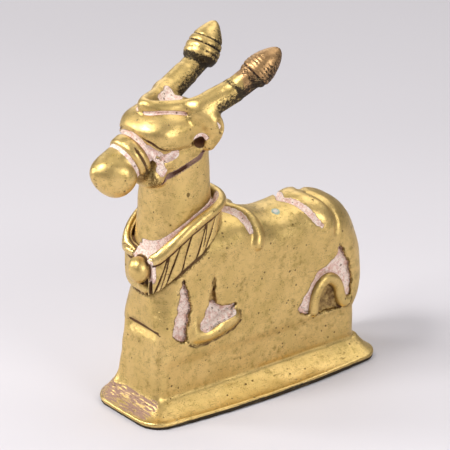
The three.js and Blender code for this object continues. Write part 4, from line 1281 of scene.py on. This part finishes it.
def pale_paper(colours):
    """Backdrop paper, pale and matt, greyer towards the back by painted shade, with a faint unevenness in its
    colour.
    """
    paint = Paint("pale_paper")
    place = paint.node("ShaderNodeTexCoord", output=3)
    parts = [paint.node("ShaderNodeSeparateXYZ", None, {0: place}, output=i) for i in range(2)]
    # Painted shade: the paper darkens away from the camera, where less light falls on it.
    away = parts[1] * 0.61 - parts[0] * 0.79
    shade = paint.noise(place, 9.0, 2.0).between(0.3, 0.7) * 0.06 + away.between(-0.12, 0.28) * 0.9
    colour = paint.mix(shade, colours.floor, tuple(0.66 * c for c in colours.floor))
    shader = paint.node("ShaderNodeBsdfPrincipled", None, {"Base Color": colour, "Roughness": 0.9})
    paint.node("ShaderNodeOutputMaterial", None, {"Surface": shader})
    return paint.material


# The add-on's settings, operators and panel.

# Lamps: name, place in metres, size, and the setting that gives its power with its share of it.
LAMPS = (
    ("key", (-0.08, -0.5, 0.66), 0.24, "key_power", 1.0),
    ("overhead", (0.0, 0.42, 0.75), 0.8, "fill_power", 1.0),
    ("left_back", (-0.75, 0.35, 0.5), 0.7, "fill_power", 0.7),
    ("left_front", (-0.64, -0.6, 0.38), 0.28, "fill_power", 1.2),
    ("right", (0.9, 0.1, 0.36), 0.45, "fill_power", 1.3),
)
LAMP_TARGET = Vector((0.0, 0.0, 0.03))
CAMERA_TARGET = Vector((-3.81, 0.0, 29.93)) * METRE
CAMERA_ROUND = math.radians(52.38)
CAMERA_UP = math.radians(23.59)


def number(name, description, value, **more):
    """Setting that is a plain number."""
    return bpy.props.FloatProperty(name=name, description=description, default=value, **more)


def length(name, description, value):
    """Setting that is a length, given in millimetres."""
    return number(name, description, value * METRE, unit="LENGTH", precision=5, min=0.0, max=0.02)


def tint(name, description, value):
    """Setting that is a colour."""
    return bpy.props.FloatVectorProperty(
        name=name, description=description, default=value, subtype="COLOR", size=3, min=0.0, max=1.0
    )


class BullSizes(bpy.types.PropertyGroup):
    """Sizes of the casting that a maker may want to change."""

    relief_depth: length("Relief depth", "How deep the pockets round the legs are sunk into the flank", 1.3)
    foreleg_rise: length("Foreleg rise", "How far the bar of each foreleg stands out of the flank", 1.25)
    hind_leg_girth: length("Hind leg radius", "Radius of the bar along each curled hind leg", 1.22)
    roll_radius: length("Roll radius", "Radius of the roll along the collar's upper edge", 1.05)
    leaf_pitch: length("Leaf pitch", "Distance between the collar's leaves along the band", 2.75)
    leaf_depth: length("Leaf depth", "Depth of the strokes between the leaves", 0.3)
    leaf_lean: number("Leaf lean", "How far a leaf leans forward for each unit that it falls", 0.45)
    hump_strap: length("Hump strap radius", "Radius of the strap over the hump", 1.35)
    rump_strap: length("Rump strap depth", "How deep the middle of the strap over the rump lies", 2.0)
    jaw_groove: length("Jaw groove radius", "Half the width of the groove under the jaw", 0.4)
    ridge_radius: length("Ridge radius", "Radius of the V-shaped ridge over the brow", 1.2)
    ear_girth: length("Ear radius", "Radius of each drooping ear at its thickest", 1.7)
    horn_radius: length("Horn radius", "Radius of each horn's stalk", 2.35)
    unevenness: length("Unevenness", "Height of the slow waves that the hand finish has left", 0.03)
    body_step: length("Body's step", "Distance between the mesh's points on the body", 0.33)
    collar_step: length("Collar's step", "Distance between the mesh's points on the collar", 0.165)
    head_step: length("Head's step", "Distance between the mesh's points on the head", 0.235)


class BullColours(bpy.types.PropertyGroup):
    """Colours of the finishes, as the share of each light that they send back."""

    brass: tint("Brass", "The metal's usual colour", (0.68, 0.485, 0.175))
    golden: tint("Golden brass", "Warmer patches of the metal", (0.78, 0.555, 0.215))
    olive: tint("Olive brass", "Duller patches of the metal", (0.44, 0.31, 0.095))
    bright: tint("Rubbed brass", "Metal on the high places that hands have rubbed", (0.85, 0.64, 0.3))
    bronze: tint("Bronze", "The left horn's bud, which is redder", (0.43, 0.245, 0.12))
    residue: tint("Residue", "Pale pink residue in the hollows", (1.0, 0.86, 0.77))
    residue_dark: tint("Residue shade", "Thinner residue, mixed with dirt", (0.74, 0.45, 0.36))
    mauve: tint("Mauve stain", "Streaks on the foot's front", (0.27, 0.15, 0.155))
    # Dark red-brown for stains, also painted as shade in creases and under the legs and the collar.
    stain: tint("Stain", "Dark red-brown stain in grooves and creases", (0.075, 0.022, 0.012))
    # Brown for dirty pits and specks, also painted as shade in the hollows.
    dirt: tint("Dirt", "Brown dirt in pits and hollows", (0.11, 0.06, 0.018))
    # Black for the horns' sooty deposit, also painted as the shadow along the foot's rim.
    soot: tint("Soot", "Dark deposit on the horns", (0.011, 0.008, 0.007))
    verdigris: tint("Verdigris", "Blue-green spot on the back", (0.42, 0.62, 0.55))
    floor: tint("Floor", "The pale paper that the figure stands on", (0.672, 0.643, 0.668))


class BullStage(bpy.types.PropertyGroup):
    """Light and camera."""

    key_power: number("Key light", "Power of the light in front", 4.9)
    fill_power: number("Fill light", "Power of the large light overhead, which the others follow", 2.7)
    sky: number("Surroundings", "Brightness of the pale room around", 0.24)
    distance: number("Camera distance", "From the camera to its target", 0.65, unit="LENGTH")
    lens: number("Lens", "Focal length in millimetres, on a 36 mm sensor", 277.04, unit="CAMERA")


def millimetres(sizes):
    """The sizes with a length's unit, in millimetres, and the others as they are."""
    scale = {key: 1.0 if key == "leaf_lean" else 1.0 / METRE for key in BullSizes.__annotations__}
    values = {key: getattr(sizes, key) * scale[key] for key in scale}
    return type("Sizes", (), values)


def cast_from(context):
    """The casting's fields, made from the scene's sizes."""
    return Casting(millimetres(context.scene.bull_sizes))


def add_piece(context, name, form, step, low, high):
    """One part of the casting: its field on a grid, finer at the foot, the net round it, and the finish."""
    casting = cast_from(context)
    field = getattr(casting, form)
    axes = [grid_lines([(a, b, step)]) for a, b in zip(low, high)]
    if low[2] < 0.0:
        axes[2] = grid_lines([(low[2], 1.6, 0.2), (1.6, high[2], step)])
    points, faces = net_of(sample_field(field, axes), axes)
    points, normals, steepness = settle(field, points, faces, 3)
    if 2 * len(faces) >= MOST_TRIANGLES:
        raise RuntimeError("%s has too many faces: %d" % (name, len(faces)))
    points[:, 2] = np.maximum(points[:, 2], 0.0)
    made = mesh_object(name, points, faces, wear_and_shade_masks(casting, points, normals, steepness))
    brass = bpy.data.materials.get("worn_brass") or worn_brass(context.scene.bull_colours)
    made.data.materials.append(brass)
    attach(made, "root")
    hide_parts(NODE)


class BULL_OT_body(bpy.types.Operator):
    """Make the body on its block and foot, with the legs in relief and the straps over the back"""

    bl_idname = "bull.body"
    bl_label = "Make the body"

    def execute(self, context):
        low, high = np.array(NODE_LOW) / METRE, np.array(NODE_HIGH) / METRE
        top = BACK_HEIGHT + HUMP_RISE + 4.0
        step = context.scene.bull_sizes.body_step / METRE
        add_piece(context, "bull_body", "body", step, low - 0.8, (high[0] + 0.8, high[1] + 0.8, top))
        return {"FINISHED"}


class BULL_OT_collar(bpy.types.Operator):
    """Make the collar of leaves with its roll and its bell"""

    bl_idname = "bull.collar"
    bl_label = "Make the collar"

    def execute(self, context):
        side, deep = COLLAR_SIDE + 1.9, COLLAR_DEEP
        low = (-side, NECK_Y - deep - 3.6, COLLAR_HEIGHT - COLLAR_FALL - COLLAR_DIP - BAND_WIDTH - 1.5)
        high = (side, NECK_Y + deep + 1.9, COLLAR_HEIGHT + 1.9)
        step = context.scene.bull_sizes.collar_step / METRE
        add_piece(context, "bull_collar", "collar", step, low, high)
        return {"FINISHED"}


class BULL_OT_head(bpy.types.Operator):
    """Make the head with its neck, snout, ears and ringed horns"""

    bl_idname = "bull.head"
    bl_label = "Make the head"

    def execute(self, context):
        low, high = np.array(NODE_LOW) / METRE, np.array(NODE_HIGH) / METRE
        low = (low[0] - 0.8, low[1] - 0.8, SHOULDER_HEIGHT)
        high = (high[0] + 0.8, 4.0, high[2] + 0.8)
        step = context.scene.bull_sizes.head_step / METRE
        add_piece(context, "bull_head", "head", step, low, high)
        return {"FINISHED"}


class BULL_OT_stage(bpy.types.Operator):
    """Set the figure on pale paper under soft lights, with the camera in front of its left side"""

    bl_idname = "bull.stage"
    bl_label = "Set the stage"

    def execute(self, context):
        scene = context.scene
        stage = scene.bull_stage
        self.paper(scene)
        for name, place, size, power, share in LAMPS:
            self.light(scene, name, Vector(place), size, getattr(stage, power) * share)
        room = bpy.data.worlds.new("pale_room")
        room.use_nodes = True
        background = room.node_tree.nodes["Background"].inputs
        background["Color"].default_value = (0.98, 0.96, 1.0, 1.0)
        background["Strength"].default_value = stage.sky
        scene.world = room
        scene.view_settings.view_transform = "Standard"
        self.camera(scene, stage)
        return {"FINISHED"}

    @staticmethod
    def paper(scene):
        """Flat sheet over three metres wide, finer towards the figure: each grid line is a signed square."""
        line = np.linspace(-1.0, 1.0, 21)
        line = line * np.abs(line) * 1.6
        x, y = np.meshgrid(line, line, indexing="ij")
        points = np.stack([x.ravel(), y.ravel(), np.zeros(x.size)], axis=1)
        corner = np.arange(20)[:, None] * 21 + np.arange(20)
        faces = np.stack([corner, corner + 21, corner + 22, corner + 1], axis=-1).reshape(-1, 4)
        made = mesh_object("paper", points / METRE, faces, {})
        made.data.materials.append(pale_paper(scene.bull_colours))

    @staticmethod
    def light(scene, name, place, size, power):
        """Round area lamp that faces the figure."""
        lamp = bpy.data.lights.new(name, "AREA")
        lamp.shape = "DISK"
        lamp.size = size
        lamp.energy = power
        made = bpy.data.objects.new(name, lamp)
        made.location = place
        made.rotation_euler = (place - LAMP_TARGET).to_track_quat("Z", "Y").to_euler()
        scene.collection.objects.link(made)

    @staticmethod
    def camera(scene, stage):
        """The camera stands at its distance from its target, turned round from the front and raised."""
        ahead, aside = math.sin(CAMERA_ROUND), -math.cos(CAMERA_ROUND)
        back = Vector((ahead * math.cos(CAMERA_UP), aside * math.cos(CAMERA_UP), math.sin(CAMERA_UP)))
        right = Vector((-aside, ahead, 0.0))
        lens = bpy.data.cameras.new("camera")
        lens.sensor_width = 36.0
        lens.lens = stage.lens
        lens.clip_start = 0.05
        made = bpy.data.objects.new("camera", lens)
        turn = Matrix((right, back.cross(right), back)).transposed().to_4x4()
        made.matrix_world = Matrix.Translation(CAMERA_TARGET + back * stage.distance) @ turn
        scene.collection.objects.link(made)
        scene.camera = made


class BULL_PT_panel(bpy.types.Panel):
    """Lists the figure's operators and settings"""

    bl_idname = "BULL_PT_panel"
    bl_label = "Brass bull"
    bl_space_type = "VIEW_3D"
    bl_region_type = "UI"
    bl_category = "Bull"

    def draw(self, context):
        for operator in OPERATORS:
            self.layout.operator(operator.bl_idname)
        for group in (context.scene.bull_sizes, context.scene.bull_colours, context.scene.bull_stage):
            box = self.layout.box()
            for key in type(group).__annotations__:
                box.prop(group, key)


OPERATORS = (BULL_OT_body, BULL_OT_collar, BULL_OT_head, BULL_OT_stage)
CLASSES = (BullSizes, BullColours, BullStage, *OPERATORS, BULL_PT_panel)


def register():
    for made in CLASSES:
        bpy.utils.register_class(made)
    bpy.types.Scene.bull_sizes = bpy.props.PointerProperty(type=BullSizes)
    bpy.types.Scene.bull_colours = bpy.props.PointerProperty(type=BullColours)
    bpy.types.Scene.bull_stage = bpy.props.PointerProperty(type=BullStage)


def unregister():
    del bpy.types.Scene.bull_stage
    del bpy.types.Scene.bull_colours
    del bpy.types.Scene.bull_sizes
    for made in reversed(CLASSES):
        bpy.utils.unregister_class(made)


def main():
    """Make everything."""
    register()
    bpy.ops.bull.body()
    bpy.ops.bull.collar()
    bpy.ops.bull.head()
    bpy.ops.bull.stage()


if __name__ == "__main__":
    main()
